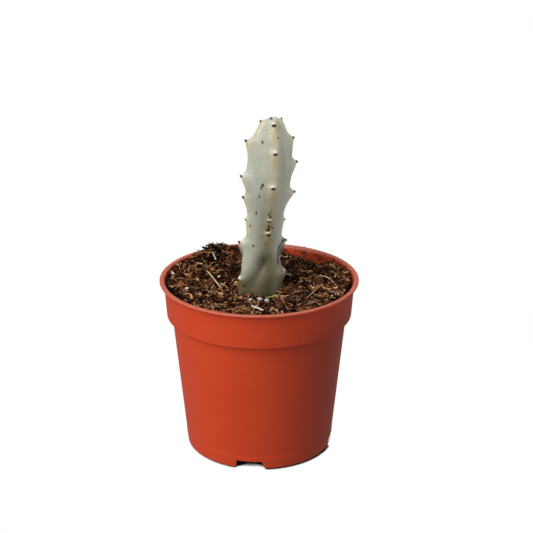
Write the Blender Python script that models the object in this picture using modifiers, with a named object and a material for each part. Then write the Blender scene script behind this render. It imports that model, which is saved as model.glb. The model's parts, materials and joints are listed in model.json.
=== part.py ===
"""Potted euphorbia: a four-ribbed column cutting in a thin moulded nursery pot of coir soil.

The frame is metres with +Z up. The origin is the centre of the pot's foot, on the surface it
stands on, and -Y is the side that the front rib of the stem faces.
"""

import math

import bmesh
import bpy
from mathutils import Vector

MM = 0.001

# pot: one injection moulding, turned about Z
WALL = 0.8 * MM
LIP_RADIUS = 52.5 * MM
LIP_TOP = 92.8 * MM
LIP_THICKNESS = 1.0 * MM
COLLAR_TOP_RADIUS = 50.3 * MM
COLLAR_FOOT_RADIUS = 48.9 * MM
COLLAR_FOOT = 73.4 * MM
BODY_TOP_RADIUS = 46.2 * MM
BODY_FOOT_RADIUS = 39.6 * MM
BODY_FOOT = 6.5 * MM
RING_RADIUS = 39.0 * MM
RING_WALL = 1.5 * MM
RING_STEP = 0.22 * MM
FLOOR_UNDERSIDE = 4.8 * MM
FLOOR_THICKNESS = 1.2 * MM
POT_STEPS = 72

# foot notches and drainage holes, both cut through the moulding
NOTCH_COUNT = 4
NOTCH_WIDTH = 15.0 * MM
NOTCH_HEIGHT = 4.3 * MM
NOTCH_FIRST_ANGLE = math.radians(-97.4)
HOLE_COUNT = 8
HOLE_RADIUS = 3.0 * MM
HOLE_CIRCLE = 27.0 * MM

# soil: fills the pot to a few millimetres under the lip
GAP = 0.3 * MM
SOIL_LEVEL = 88.4 * MM
SOIL_RINGS = 8
SOIL_STEPS = 48

# stem: four ribs on an axis that leans to +X as it rises; the front rib is low and broad, and
# both side ribs turn to the front at the foot
RIB_ANGLES = [math.radians(a) for a in (-76.5, 10, 100, 190)]
FOOT_TWIST = [math.radians(a) for a in (0, -18, 0, 23)]
RIB_SPREAD = [math.radians(a) for a in (36, 24, 24, 24)]
RIB_SHARE = [0.79, 1.0, 0.95, 1.0]
TUBERCLE_SPREAD = math.radians(17)
FACE_RATIO = 0.73
STEM_FOOT = 62.0 * MM
STEM_TIP = 180.0 * MM
STEM_RINGS = 48
STEM_SEGMENTS = 36
POCKET_TOP = 104.0 * MM

# how far the stem's axis stands from Z, and how wide its ribs are, at heights up the stem
AXIS_LEAN = [
    (60, -1.3), (85, -0.8), (93, 0.1), (101, 1.1), (110, 2.0), (118, 2.6), (140, 4.4),
    (160, 5.7), (180, 6.4),
]  # fmt: skip
RIB_RADIUS = [
    (60, 8.0), (72, 10.4), (80, 11.6), (88, 12.1), (94, 11.8), (100, 11.2), (108, 10.7),
    (116, 9.3), (123, 9.0), (132, 9.9), (142, 11.4), (152, 11.8), (162, 11.2), (170, 9.3),
    (175, 6.8), (178, 4.9), (181, 3.9),
]  # fmt: skip

# tubercles on each rib, as (height, how far it stands out) in millimetres
TUBERCLES = [
    [(119.5, 1.8), (126.5, 1.0), (145.2, 2.2), (163.3, 2.2), (176.9, 1.5)],
    [(96.7, 2.4), (113.0, 2.2), (124.5, 1.1), (139.5, 3.1), (155.7, 2.6), (168.6, 2.2), (178.9, 0.7)],
    [(101.0, 1.6), (117.0, 2.2), (131.0, 1.4), (144.0, 2.7), (160.0, 2.4), (172.0, 1.8)],
    [(94.3, 2.2), (113.3, 3.1), (125.6, 1.1), (137.9, 1.8), (149.4, 2.7), (168.5, 3.3), (178.6, 0.9)],
]
TUBERCLE_RISE = 1.9 * MM
TUBERCLE_FALL = 5.5 * MM


def start_empty():
    """Removes every object of the open scene."""
    for obj in list(bpy.data.objects):
        bpy.data.objects.remove(obj, do_unlink=True)


def collection(name):
    made = bpy.data.collections.new(name)
    bpy.context.scene.collection.children.link(made)
    return made


def material(name, colour, roughness):
    """A Principled material of one colour, given as linear red, green and blue."""
    made = bpy.data.materials.new(name)
    made.use_nodes = True
    shader = made.node_tree.nodes["Principled BSDF"]
    shader.inputs["Base Color"].default_value = (*colour, 1.0)
    shader.inputs["Roughness"].default_value = roughness
    shader.inputs["Metallic"].default_value = 0.0
    return made


def along(points, height):
    """The value at a height in metres, eased between (height, value) points in millimetres."""
    z = height / MM
    if z <= points[0][0]:
        return points[0][1] * MM
    for (z0, v0), (z1, v1) in zip(points, points[1:]):
        if z <= z1:
            t = (z - z0) / (z1 - z0)
            return (v0 + (v1 - v0) * t) * MM
    return points[-1][1] * MM


def turned(name, profile, steps, home):
    """A profile of (radius, height) points turned about Z."""
    mesh = bpy.data.meshes.new(name)
    points = [(r, 0.0, z) for r, z in profile]
    closed = profile[0][0] > 0.0
    edges = [(i, i + 1) for i in range(len(points) - 1)]
    if closed:
        edges.append((len(points) - 1, 0))
    mesh.from_pydata(points, edges, [])
    obj = bpy.data.objects.new(name, mesh)
    home.objects.link(obj)
    screw = obj.modifiers.new("turn", "SCREW")
    screw.steps = steps
    screw.render_steps = steps
    screw.use_merge_vertices = True
    screw.merge_threshold = 0.00001
    return obj


def as_mesh(obj, home):
    """Swaps an object for one with its modifiers applied to its mesh."""
    bpy.context.view_layer.update()
    seen = obj.evaluated_get(bpy.context.evaluated_depsgraph_get())
    mesh = bpy.data.meshes.new_from_object(seen)
    name = obj.name
    place = obj.matrix_world.copy()
    bpy.data.objects.remove(obj, do_unlink=True)
    made = bpy.data.objects.new(name, mesh)
    made.matrix_world = place
    home.objects.link(made)
    weld = bmesh.new()
    weld.from_mesh(mesh)
    bmesh.ops.remove_doubles(weld, verts=weld.verts, dist=0.00001)
    bmesh.ops.recalc_face_normals(weld, faces=weld.faces)
    weld.to_mesh(mesh)
    weld.free()
    return made


def cut(obj, cutter):
    """Cuts obj by cutter, which stays in the scene as a hidden guide."""
    cutter.hide_render = True
    cutter.display_type = "WIRE"
    boolean = obj.modifiers.new("cut " + cutter.name, "BOOLEAN")
    boolean.operation = "DIFFERENCE"
    boolean.solver = "EXACT"
    boolean.object = cutter


def finish(obj, finish_material, angle=35):
    obj.data.materials.clear()
    obj.data.materials.append(finish_material)
    obj.data.shade_smooth()
    obj.data.set_sharp_from_angle(angle=math.radians(angle))


# ---- pot -------------------------------------------------------------------------------------


def pot_outside():
    """The outer side of the pot, from the lip's top edge down to the foot."""
    return [
        (LIP_RADIUS - 0.3 * MM, LIP_TOP),
        (LIP_RADIUS, LIP_TOP - 0.3 * MM),
        (LIP_RADIUS, LIP_TOP - LIP_THICKNESS),
        (COLLAR_TOP_RADIUS, LIP_TOP - LIP_THICKNESS),
        (COLLAR_FOOT_RADIUS, COLLAR_FOOT + 0.4 * MM),
        (COLLAR_FOOT_RADIUS - 0.4 * MM, COLLAR_FOOT),
        (BODY_TOP_RADIUS, COLLAR_FOOT - 0.3 * MM),
        (BODY_FOOT_RADIUS, BODY_FOOT + RING_STEP),
        (BODY_FOOT_RADIUS + RING_STEP / 2, BODY_FOOT),
        (RING_RADIUS, 0.0),
    ]


def pot_inside():
    """The inner side of the wall, from the floor up to the lip."""
    return [
        (BODY_FOOT_RADIUS - WALL, FLOOR_UNDERSIDE + FLOOR_THICKNESS),
        (BODY_TOP_RADIUS - WALL, COLLAR_FOOT - WALL),
        (BODY_TOP_RADIUS - WALL, COLLAR_FOOT),
        (COLLAR_FOOT_RADIUS - WALL, COLLAR_FOOT + WALL),
        (COLLAR_TOP_RADIUS - WALL, LIP_TOP - LIP_THICKNESS),
        (COLLAR_TOP_RADIUS, LIP_TOP),
    ]


def build_pot(home, cutters):
    ring_inside = RING_RADIUS - RING_WALL
    profile = [(0.0, FLOOR_UNDERSIDE + FLOOR_THICKNESS)]
    profile += pot_inside()
    profile += pot_outside()
    profile += [(ring_inside, 0.0), (ring_inside, FLOOR_UNDERSIDE), (0.0, FLOOR_UNDERSIDE)]
    pot = as_mesh(turned("pot", profile, POT_STEPS, home), home)
    for i in range(NOTCH_COUNT):
        angle = NOTCH_FIRST_ANGLE + i * math.tau / NOTCH_COUNT
        bpy.ops.mesh.primitive_cube_add(size=1.0)
        notch = bpy.context.object
        notch.name = f"notch_cutter_{i + 1}"
        notch.scale = (8 * MM, NOTCH_WIDTH, 2 * NOTCH_HEIGHT)
        notch.rotation_euler = (0.0, 0.0, angle)
        notch.location = (RING_RADIUS * math.cos(angle), RING_RADIUS * math.sin(angle), 0.0)
        move_to(notch, cutters)
        cut(pot, notch)
    for i in range(HOLE_COUNT):
        angle = NOTCH_FIRST_ANGLE + (i + 0.5) * math.tau / HOLE_COUNT
        bpy.ops.mesh.primitive_cylinder_add(vertices=12, radius=HOLE_RADIUS, depth=6 * MM)
        hole = bpy.context.object
        hole.name = f"hole_cutter_{i + 1}"
        centre = Vector((HOLE_CIRCLE * math.cos(angle), HOLE_CIRCLE * math.sin(angle), 0.0))
        hole.location = centre + Vector((0.0, 0.0, FLOOR_UNDERSIDE + FLOOR_THICKNESS / 2))
        move_to(hole, cutters)
        cut(pot, hole)
    finish(pot, material("terracotta_polypropylene", (0.50, 0.075, 0.028), 0.38))
    return pot


def move_to(obj, home):
    for old in list(obj.users_collection):
        old.objects.unlink(obj)
    home.objects.link(obj)


# ---- stem ------------------------------------------------------------------------------------


def angle_between(a, b):
    return abs((a - b + math.pi) % math.tau - math.pi)


def hump(value, middle, spread):
    return math.exp(-(((value - middle) / spread) ** 2))


def step_up(value, low, high):
    """A smooth step from 0 at low to 1 at high."""
    share = min(1.0, max(0.0, (value - low) / (high - low)))
    return share * share * (3 - 2 * share)


def stem_radius(angle, height):
    """The stem's radius about its own axis: four ribs with thorn-bearing tubercles on them."""
    rib = along(RIB_RADIUS, height)
    face = rib * FACE_RATIO
    radius = face
    twist = 1 - step_up(height, 95 * MM, 111 * MM)
    for number, tubercles in enumerate(TUBERCLES):
        off = angle_between(angle, RIB_ANGLES[number] + FOOT_TWIST[number] * twist)
        ridge = hump(off, 0.0, RIB_SPREAD[number])
        if number == 0:
            ridge *= 0.1 + 0.9 * step_up(height, 100 * MM, 120 * MM)
        radius += (rib * RIB_SHARE[number] - face) * ridge
        swell = 0.0
        for z, size in tubercles:
            step = height - z * MM
            reach = TUBERCLE_RISE if step > 0 else TUBERCLE_FALL
            swell = max(swell, size * MM * math.exp(-((step / reach) ** 2)))
        radius += swell * hump(off, 0.0, TUBERCLE_SPREAD)
    front = angle_between(angle, math.radians(-85))
    radius -= 2.3 * MM * hump(front, 0.0, math.radians(38)) * hump(height, 101.5 * MM, 6.5 * MM)
    right = angle_between(angle, math.radians(4))
    radius -= 1.5 * MM * hump(right, 0.0, math.radians(22)) * hump(height, 104.5 * MM, 4.5 * MM)
    return radius


def stem_body(name, home, heights, clearance):
    """A closed loft of the stem through the given heights, grown outwards by a clearance."""
    loft = bmesh.new()
    loops = []
    for height in heights:
        lean = along(AXIS_LEAN, height)
        loop = []
        for k in range(STEM_SEGMENTS):
            angle = RIB_ANGLES[0] + k * math.tau / STEM_SEGMENTS
            radius = stem_radius(angle, height) + clearance
            x = lean + radius * math.cos(angle)
            loop.append(loft.verts.new((x, radius * math.sin(angle), height)))
        loops.append(loop)
    for low, high in zip(loops, loops[1:]):
        for k in range(STEM_SEGMENTS):
            n = (k + 1) % STEM_SEGMENTS
            loft.faces.new((low[k], low[n], high[n], high[k]))
    for loop, height in ((loops[0], heights[0]), (loops[-1], heights[-1])):
        pole = loft.verts.new((along(AXIS_LEAN, height), 0.0, height))
        for k in range(STEM_SEGMENTS):
            loft.faces.new((loop[k], loop[(k + 1) % STEM_SEGMENTS], pole))
    bmesh.ops.recalc_face_normals(loft, faces=loft.faces)
    mesh = bpy.data.meshes.new(name)
    loft.to_mesh(mesh)
    loft.free()
    obj = bpy.data.objects.new(name, mesh)
    home.objects.link(obj)
    return obj


def ring_heights():
    return [STEM_FOOT + (STEM_TIP - STEM_FOOT) * i / STEM_RINGS for i in range(STEM_RINGS + 1)]


def build_stem(home):
    stem = stem_body("euphorbia_stem", home, ring_heights(), 0.0)
    finish(stem, material("waxy_stem", (0.45, 0.46, 0.38), 0.42), 60)
    return stem


# ---- soil ------------------------------------------------------------------------------------


def soil_height(x, y):
    """The soil's surface: heaped at the back left, dished at the back right and at the stem."""
    reach = math.hypot(x, y)
    heap = 6.4 * MM * bump(x + 25 * MM, y - 34 * MM, 11.5 * MM)
    dip = 2.6 * MM * bump(x + 39 * MM, y - 29 * MM, 5.5 * MM)
    left = 1.5 * MM * bump(x + 44 * MM, y - 6 * MM, 13 * MM)
    right = 1.6 * MM * bump(x - 46 * MM, y - 4 * MM, 13 * MM)
    dish = 3.2 * MM * bump(x - 27 * MM, y - 40 * MM, 11 * MM)
    hollow = 3.9 * MM * bump(x, y, 14 * MM)
    shelf = 2.2 * MM * step_up(reach, 30 * MM, 45 * MM)
    edge = 1.5 * max(0.0, reach - 47.6 * MM)
    return SOIL_LEVEL + heap + left + right + shelf - dip - dish - hollow - edge


def bump(x, y, spread):
    return math.exp(-(x * x + y * y) / (2 * spread * spread))


def inner_radius(height):
    """The pot's inner radius at a height within the collar."""
    slope = (COLLAR_TOP_RADIUS - COLLAR_FOOT_RADIUS) / (LIP_TOP - LIP_THICKNESS - COLLAR_FOOT - WALL)
    return COLLAR_FOOT_RADIUS - WALL + slope * (height - COLLAR_FOOT - WALL)


def build_soil(home, cutters):
    """The soil is turned to the pot's inner side, its top is heaped, and the stem cuts its pocket."""
    rim = inner_radius(SOIL_LEVEL) - GAP
    profile = [(rim * i / SOIL_RINGS, SOIL_LEVEL) for i in range(SOIL_RINGS + 1)]
    side = [(r - GAP, z) for r, z in reversed(pot_inside()[:4])]
    side[-1] = (side[-1][0], side[-1][1] + GAP)
    profile += side
    profile.append((0.0, side[-1][1]))
    soil = as_mesh(turned("soil", profile, SOIL_STEPS, home), home)
    for vertex in soil.data.vertices:
        if vertex.co.z > SOIL_LEVEL - 0.1 * MM:
            vertex.co.z = soil_height(vertex.co.x, vertex.co.y)
            reach = math.hypot(vertex.co.x, vertex.co.y)
            limit = inner_radius(min(vertex.co.z, LIP_TOP - LIP_THICKNESS)) - GAP
            if reach > rim - 0.1 * MM:
                vertex.co.x *= limit / reach
                vertex.co.y *= limit / reach
    pocket_heights = [height for height in ring_heights() if height < POCKET_TOP]
    pocket_heights[0] -= GAP
    pocket = stem_body("stem_pocket", cutters, pocket_heights, GAP)
    cut(soil, pocket)
    finish(soil, material("coir_soil", (0.055, 0.024, 0.012), 0.9), 60)
    return soil


# ---- loose bits on the soil ------------------------------------------------------------------


def strand(name, route, thickness, finish_material, home):
    """A stiff thin piece that lies on the soil along a route of (x, y) points in millimetres."""
    curve = bpy.data.curves.new(name, "CURVE")
    curve.dimensions = "3D"
    curve.bevel_depth = thickness / 2
    curve.bevel_resolution = 2
    curve.use_fill_caps = True
    spline = curve.splines.new("POLY")
    spline.points.add(len(route) - 1)
    for point, (x, y) in zip(spline.points, route):
        height = soil_height(x * MM, y * MM) + thickness / 2 + GAP + 0.2 * MM
        point.co = (x * MM, y * MM, height, 1.0)
    obj = bpy.data.objects.new(name, curve)
    home.objects.link(obj)
    made = as_mesh(obj, home)
    finish(made, finish_material)
    return made


def chip(name, place, size, turn, finish_material, home):
    """A small flat-bottomed lump that lies on the soil at an (x, y) place in millimetres."""
    bpy.ops.mesh.primitive_ico_sphere_add(subdivisions=2, radius=0.5)
    obj = bpy.context.object
    obj.name = name
    length, width, height = (side * MM for side in size)
    x, y = (side * MM for side in place)
    for vertex in obj.data.vertices:
        vertex.co.x *= length
        vertex.co.y *= width
        vertex.co.z *= height
    obj.rotation_euler = (0.0, 0.0, math.radians(turn))
    reach = max(length, width) / 2
    floor = max(soil_height(x + dx, y + dy) for dx in (-reach, 0, reach) for dy in (-reach, 0, reach))
    obj.location = (x, y, floor + height / 2 + GAP)
    move_to(obj, home)
    finish(obj, finish_material)
    return obj


def build_loose_bits(home):
    straw = material("dry_straw", (0.72, 0.58, 0.36), 0.6)
    pale_wood = material("pale_wood_splinter", (0.82, 0.78, 0.70), 0.6)
    root = material("dry_root", (0.50, 0.27, 0.16), 0.7)
    bark = material("orange_bark", (0.55, 0.22, 0.07), 0.75)
    perlite = material("perlite", (0.62, 0.62, 0.66), 0.8)
    grass = material("grass", (0.20, 0.42, 0.08), 0.5)
    strand("straw_stalk", [(-28.0, 13.6), (-23.8, 5.3), (-20.2, -3.4)], 0.9 * MM, straw, home)
    strand("splinter_front", [(-4.0, -35.2), (1.9, -45.2)], 0.9 * MM, pale_wood, home)
    strand("splinter_back", [(-25.4, 28.2), (-23.4, 22.6)], 0.8 * MM, pale_wood, home)
    strand("splinter_left", [(-46.2, 8.4), (-44.4, 3.8)], 0.8 * MM, pale_wood, home)
    strand("twig_right", [(32.0, 8.0), (35.2, 4.6), (37.6, -0.8)], 0.8 * MM, straw, home)
    strand("root_long", [(31.6, -5.5), (29.6, -9.5), (27.4, -15.0), (24.3, -22.6)], 0.8 * MM, root, home)
    strand("root_short", [(34.6, -5.4), (34.8, -9.6), (37.2, -14.0)], 0.8 * MM, root, home)
    strand("grass_blade", [(3.2, -18.0), (6.9, -16.0), (10.6, -13.2)], 0.7 * MM, grass, home)
    chip("bark_chip_front", (20.4, -31.2), (2.6, 1.5, 1.0), 60, bark, home)
    chip("bark_chip_stem", (4.4, -23.0), (3.4, 1.4, 1.0), 100, bark, home)
    chip("wood_chip_right", (16.6, 15.8), (2.6, 1.1, 0.9), -8, pale_wood, home)
    chip("straw_tuft", (-21.4, 9.6), (2.6, 1.7, 1.1), 70, straw, home)
    chip("perlite_1", (0.2, -17.6), (2.4, 1.5, 1.2), 10, perlite, home)
    chip("perlite_2", (-4.6, -18.6), (1.5, 1.2, 1.0), 40, perlite, home)
    chip("perlite_3", (4.0, -20.4), (1.7, 1.5, 1.2), 70, perlite, home)
    chip("pale_chip_left", (-37.6, -11.4), (2.4, 1.5, 1.0), 30, pale_wood, home)


def main():
    start_empty()
    home = collection("potted_euphorbia")
    cutters = collection("cutters")
    build_pot(home, cutters)
    build_stem(home)
    build_soil(home, cutters)
    build_loose_bits(home)


main()
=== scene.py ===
import json
import math

import bmesh
import bpy
import numpy as np
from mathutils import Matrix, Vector, noise

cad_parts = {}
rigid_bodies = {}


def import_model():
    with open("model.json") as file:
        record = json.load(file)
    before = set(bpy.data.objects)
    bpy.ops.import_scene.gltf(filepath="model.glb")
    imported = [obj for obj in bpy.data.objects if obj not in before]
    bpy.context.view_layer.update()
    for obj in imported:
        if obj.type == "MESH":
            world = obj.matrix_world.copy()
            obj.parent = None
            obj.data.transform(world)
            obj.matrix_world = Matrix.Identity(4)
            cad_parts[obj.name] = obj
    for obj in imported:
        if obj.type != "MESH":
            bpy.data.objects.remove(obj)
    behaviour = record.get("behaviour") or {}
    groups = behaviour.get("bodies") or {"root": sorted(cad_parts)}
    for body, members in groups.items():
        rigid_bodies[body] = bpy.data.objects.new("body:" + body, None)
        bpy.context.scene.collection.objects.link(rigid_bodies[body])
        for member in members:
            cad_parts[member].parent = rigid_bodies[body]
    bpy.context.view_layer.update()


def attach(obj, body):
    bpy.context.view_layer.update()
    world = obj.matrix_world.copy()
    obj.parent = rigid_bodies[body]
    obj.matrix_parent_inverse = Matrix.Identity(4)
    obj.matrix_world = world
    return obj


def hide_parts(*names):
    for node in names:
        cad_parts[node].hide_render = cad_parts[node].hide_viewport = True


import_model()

# ---- camera --------------------------------------------------------------------------------------
# A long lens stands 0.8 m in front of the pot, a little above it, and looks down at its middle.

MM = 0.001


def start_fresh():
    """Leaves edit mode and deselects everything, so that an operator acts on its own piece alone."""
    if bpy.context.object is not None and bpy.context.object.mode != "OBJECT":
        bpy.ops.object.mode_set(mode="OBJECT")
    bpy.ops.object.select_all(action="DESELECT")


CAMERA_AIM = Vector((0.0, 0.0, 45 * MM))
CAMERA_AWAY = 800 * MM
CAMERA_RISE = math.radians(24.8)
CAMERA_TURN = (math.radians(68.803), 0.0, math.radians(-0.305))
LENS_LENGTH = 100
SENSOR_WIDTH = 36

start_fresh()
bpy.ops.object.camera_add(
    location=CAMERA_AIM + CAMERA_AWAY * Vector((0.0, -math.cos(CAMERA_RISE), math.sin(CAMERA_RISE))),
    rotation=CAMERA_TURN,
)
camera = bpy.context.object
camera.data.lens = LENS_LENGTH
camera.data.sensor_width = SENSOR_WIDTH
bpy.context.scene.camera = camera


# ---- studio --------------------------------------------------------------------------------------
# A white sweep under and behind the pot, a tall softbox at the front left, two weak ones overhead
# and at the back right, and a snooted spot for the stem. The sweep glows by itself, and a thin
# contact shade is painted on it beside the pot's foot and under it.

def linear(colour):
    """An sRGB hex colour as linear red, green, blue and alpha."""
    parts = [int(colour[i:i + 2], 16) / 255 for i in (1, 3, 5)]
    return [p / 12.92 if p <= 0.04045 else ((p + 0.055) / 1.055) ** 2.4 for p in parts] + [1.0]


def add_node(tree, kind, settings=(), links=()):
    """Adds a node. A setting is a property, a socket's value or a ramp's stops, and a link comes
    from a node's first output, or from (node, output)."""
    node = tree.nodes.new(kind)
    for name, value in dict(settings).items():
        if name == "stops":
            stops = node.color_ramp.elements
            stops.remove(stops[1])
            stops[0].position = value[0][0]
            stops[0].color = linear(value[0][1])
            for place, colour in value[1:]:
                stops.new(place).color = linear(colour)
        elif isinstance(name, int) or name in node.inputs:
            node.inputs[name].default_value = value
        else:
            setattr(node, name, value)
    for name, source in dict(links).items():
        if not isinstance(source, tuple):
            source = (source, 0)
        tree.links.new(source[0].outputs[source[1]], node.inputs[name])
    return node


def start_material(name):
    """An empty node material."""
    material = bpy.data.materials.new(name)
    material.use_nodes = True
    material.node_tree.nodes.clear()
    return material


bpy.context.scene.view_settings.view_transform = "Standard"

SWEEP_SIZE = 40.0
SWEEP_DROP = 0.05 * MM
SWEEP_GLOW = 0.295
AIR_LEFT = 0.21
AIR_RIGHT = 0.065
FOOT_RADIUS = 39.0 * MM
FOOT_BLUR = 0.4 * MM

start_fresh()
bpy.ops.mesh.primitive_plane_add(size=SWEEP_SIZE, location=(0, 0, -SWEEP_DROP))
sweep = bpy.context.object
sweep.name = "studio_sweep"
bpy.ops.object.transform_apply(location=True, rotation=True, scale=True)

# Paper, rolled and matt: plain white. Its shade is painted, from how much of the light's side is
# covered: close beside the foot, and deeper under it, painted as if light fell in through a notch.
white_paper = start_material("white_paper_sweep")
tree = white_paper.node_tree
# Each shade has its reach, the light's side, and its tones from a covered side to an open one.
SHADES = (
    (2.8 * MM, {"X": -0.45, "Y": 0.5, "Z": 0.74}, [(0.35, "#0C0705"), (0.5, "#38302C"), (0.64, "#FFFFFF")]),
    (14 * MM, {"X": -0.5, "Y": -0.45, "Z": 0.74}, [(0.39, "#080403"), (0.46, "#1E1815"), (0.51, "#FFFFFF")]),
)
shades = []
for reach, light_side, stops in SHADES:
    towards = add_node(tree, "ShaderNodeCombineXYZ", light_side)
    open_share = add_node(
        tree, "ShaderNodeAmbientOcclusion", {"samples": 16, "Distance": reach}, {"Normal": towards},
    )
    shades.append(add_node(tree, "ShaderNodeValToRGB", {"stops": stops}, {"Fac": (open_share, "AO")}))
beside, beneath = shades
place = add_node(tree, "ShaderNodeTexCoord")
out = add_node(tree, "ShaderNodeVectorMath", {"operation": "LENGTH"}, {0: (place, "Object")})
covered = add_node(
    tree, "ShaderNodeMapRange",
    {"From Min": FOOT_RADIUS + FOOT_BLUR, "From Max": FOOT_RADIUS - FOOT_BLUR}, {"Value": (out, "Value")},
)
shade = add_node(
    tree, "ShaderNodeMix", {"data_type": "RGBA", "blend_type": "MULTIPLY"},
    {0: covered, 6: beside, 7: beneath},
)
seen = add_node(tree, "ShaderNodeEmission", {"Strength": 1.0}, {"Color": (shade, 2)})
lit = add_node(tree, "ShaderNodeEmission", {"Color": (1, 1, 1, 1), "Strength": SWEEP_GLOW})
ray = add_node(tree, "ShaderNodeLightPath")
both = add_node(tree, "ShaderNodeMixShader", {}, {0: (ray, "Is Camera Ray"), 1: lit, 2: seen})
add_node(tree, "ShaderNodeOutputMaterial", {}, {"Surface": both})
sweep.data.materials.append(white_paper)

world = bpy.data.worlds.new("studio_air")
bpy.context.scene.world = world
world.use_nodes = True
tree = world.node_tree
tree.nodes.clear()
ray = add_node(tree, "ShaderNodeLightPath")
around = add_node(tree, "ShaderNodeTexCoord")
split = add_node(tree, "ShaderNodeSeparateXYZ", {}, {"Vector": (around, "Generated")})
side = add_node(
    tree, "ShaderNodeMapRange",
    {"From Min": -1.0, "From Max": 1.0, "To Min": AIR_LEFT, "To Max": AIR_RIGHT}, {"Value": (split, "X")},
)
dim = add_node(tree, "ShaderNodeBackground", {"Color": (1, 1, 1, 1)}, {"Strength": side})
white = add_node(tree, "ShaderNodeBackground", {"Color": (1, 1, 1, 1), "Strength": 1.0})
both = add_node(tree, "ShaderNodeMixShader", {}, {0: (ray, "Is Camera Ray"), 1: dim, 2: white})
add_node(tree, "ShaderNodeOutputWorld", {}, {"Surface": both})

POT_TOP = Vector((0.0, 0.0, 90 * MM))
# Each softbox's name, azimuth and rise in degrees, distance, width and height in metres, and watts.
SOFTBOXES = (
    ("softbox_front_left", -136, 38, 1.3, 0.9, 1.2, 16.9),
    ("softbox_overhead", 90, 84, 1.4, 1.0, 1.0, 3.0),
    ("softbox_back_right", 66, 30, 1.3, 0.5, 0.9, 1.8),
)
for name, azimuth, rise, away, width, height, power in SOFTBOXES:
    azimuth, rise = math.radians(azimuth), math.radians(rise)
    towards = Vector((
        math.cos(rise) * math.cos(azimuth), math.cos(rise) * math.sin(azimuth), math.sin(rise),
    ))
    start_fresh()
    bpy.ops.object.light_add(type="AREA", location=POT_TOP + away * towards)
    light = bpy.context.object
    light.name = name
    light.rotation_euler = towards.to_track_quat("Z", "Y").to_euler()
    light.data.shape = "RECTANGLE"
    light.data.size = width
    light.data.size_y = height
    light.data.energy = power

# A snooted spot at the right reaches the stem alone, and opens up its shaded side.
SNOOT_AIM = Vector((4 * MM, 0.0, 147 * MM))
SNOOT_WAY = Vector((0.77, -0.60, 0.22))
SNOOT_AWAY = 0.9
SNOOT_SPREAD = math.radians(8.2)
SNOOT_BLEND = 0.5
SNOOT_SIZE = 0.03
SNOOT_POWER = 11.5

start_fresh()
bpy.ops.object.light_add(type="SPOT", location=SNOOT_AIM + SNOOT_AWAY * SNOOT_WAY)
snoot = bpy.context.object
snoot.name = "snoot_right"
snoot.rotation_euler = SNOOT_WAY.to_track_quat("Z", "Y").to_euler()
snoot.data.spot_size = SNOOT_SPREAD
snoot.data.spot_blend = SNOOT_BLEND
snoot.data.shadow_soft_size = SNOOT_SIZE
snoot.data.energy = SNOOT_POWER


# ---- pot -----------------------------------------------------------------------------------------
# A thin-walled nursery pot, moulded in one shot from terracotta-coloured polypropylene.
# It has a thin flat lip, a wide collar that steps in to the body, and a low foot ring with four
# notches, and water drains through eight holes in its floor.

LIP_TOP = 92.8 * MM
LIP_RADIUS = 52.5 * MM
LIP_THICKNESS = 1.0 * MM
COLLAR_TOP_RADIUS = 50.3 * MM
COLLAR_FOOT_RADIUS = 48.9 * MM
COLLAR_FOOT = 73.4 * MM
BODY_TOP_RADIUS = 46.2 * MM
BODY_FOOT_RADIUS = 39.6 * MM
BODY_FOOT = 6.5 * MM
RING_RADIUS = 39.0 * MM
RING_WALL = 1.5 * MM
RING_STEP = 0.22 * MM
WALL = 0.8 * MM
SHOULDER_DROP = 0.3 * MM
FLOOR_UNDERSIDE = 4.8 * MM
FLOOR_THICKNESS = 1.2 * MM
FLOOR_TOP = FLOOR_UNDERSIDE + FLOOR_THICKNESS
FLOOR_RADIUS = 34.0 * MM
POT_SIDES = 240
POT_CREASE = 35
HOLD = 0.7 * MM
NEAR = 0.02 * MM

NOTCH_COUNT = 4
NOTCH_FIRST_ANGLE = math.radians(-97.4)
NOTCH_WIDTH = 15.0 * MM
NOTCH_HEIGHT = 4.3 * MM
NOTCH_DEPTH = 8.0 * MM
NOTCH_SLANT = 1.9 * MM
NOTCH_CORNER = 1.1 * MM
HOLE_COUNT = 8
HOLE_RADIUS = 3.0 * MM
HOLE_DEPTH = 6.0 * MM
HOLE_CIRCLE = 27.0 * MM


def held(profile):
    """The same profile with a ring close to each end of its long stretches, which keeps them flat."""
    points = [profile[0]]
    for (r0, z0), (r1, z1) in zip(profile, profile[1:]):
        length = math.hypot(r1 - r0, z1 - z0)
        if length > 6 * HOLD:
            for share in (HOLD / length, 0.5, 1 - HOLD / length):
                points.append((r0 + (r1 - r0) * share, z0 + (z1 - z0) * share))
        points.append((r1, z1))
    return points


def turn_profile(name, profile, sides):
    """Extrudes a ring along a profile of (radius, height), and closes both ends at the middle."""
    start_fresh()
    bpy.ops.mesh.primitive_circle_add(vertices=sides, radius=profile[0][0])
    made = bpy.context.object
    made.name = name
    bpy.ops.object.mode_set(mode="EDIT")
    bpy.ops.mesh.select_all(action="SELECT")
    bpy.ops.transform.translate(value=(0, 0, profile[0][1]))
    for (r0, z0), (r1, z1) in zip(profile, profile[1:]):
        bpy.ops.mesh.extrude_edges_move(TRANSFORM_OT_translate={"value": (0, 0, z1 - z0)})
        bpy.ops.transform.resize(value=(r1 / r0, r1 / r0, 1), center_override=(0, 0, z1))
    bpy.ops.mesh.extrude_edges_move(TRANSFORM_OT_translate={"value": (0, 0, 0)})
    bpy.ops.mesh.merge(type="CENTER")
    pick_ring(made, *profile[0])
    bpy.ops.mesh.extrude_edges_move(TRANSFORM_OT_translate={"value": (0, 0, 0)})
    bpy.ops.mesh.merge(type="CENTER")
    return made


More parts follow.
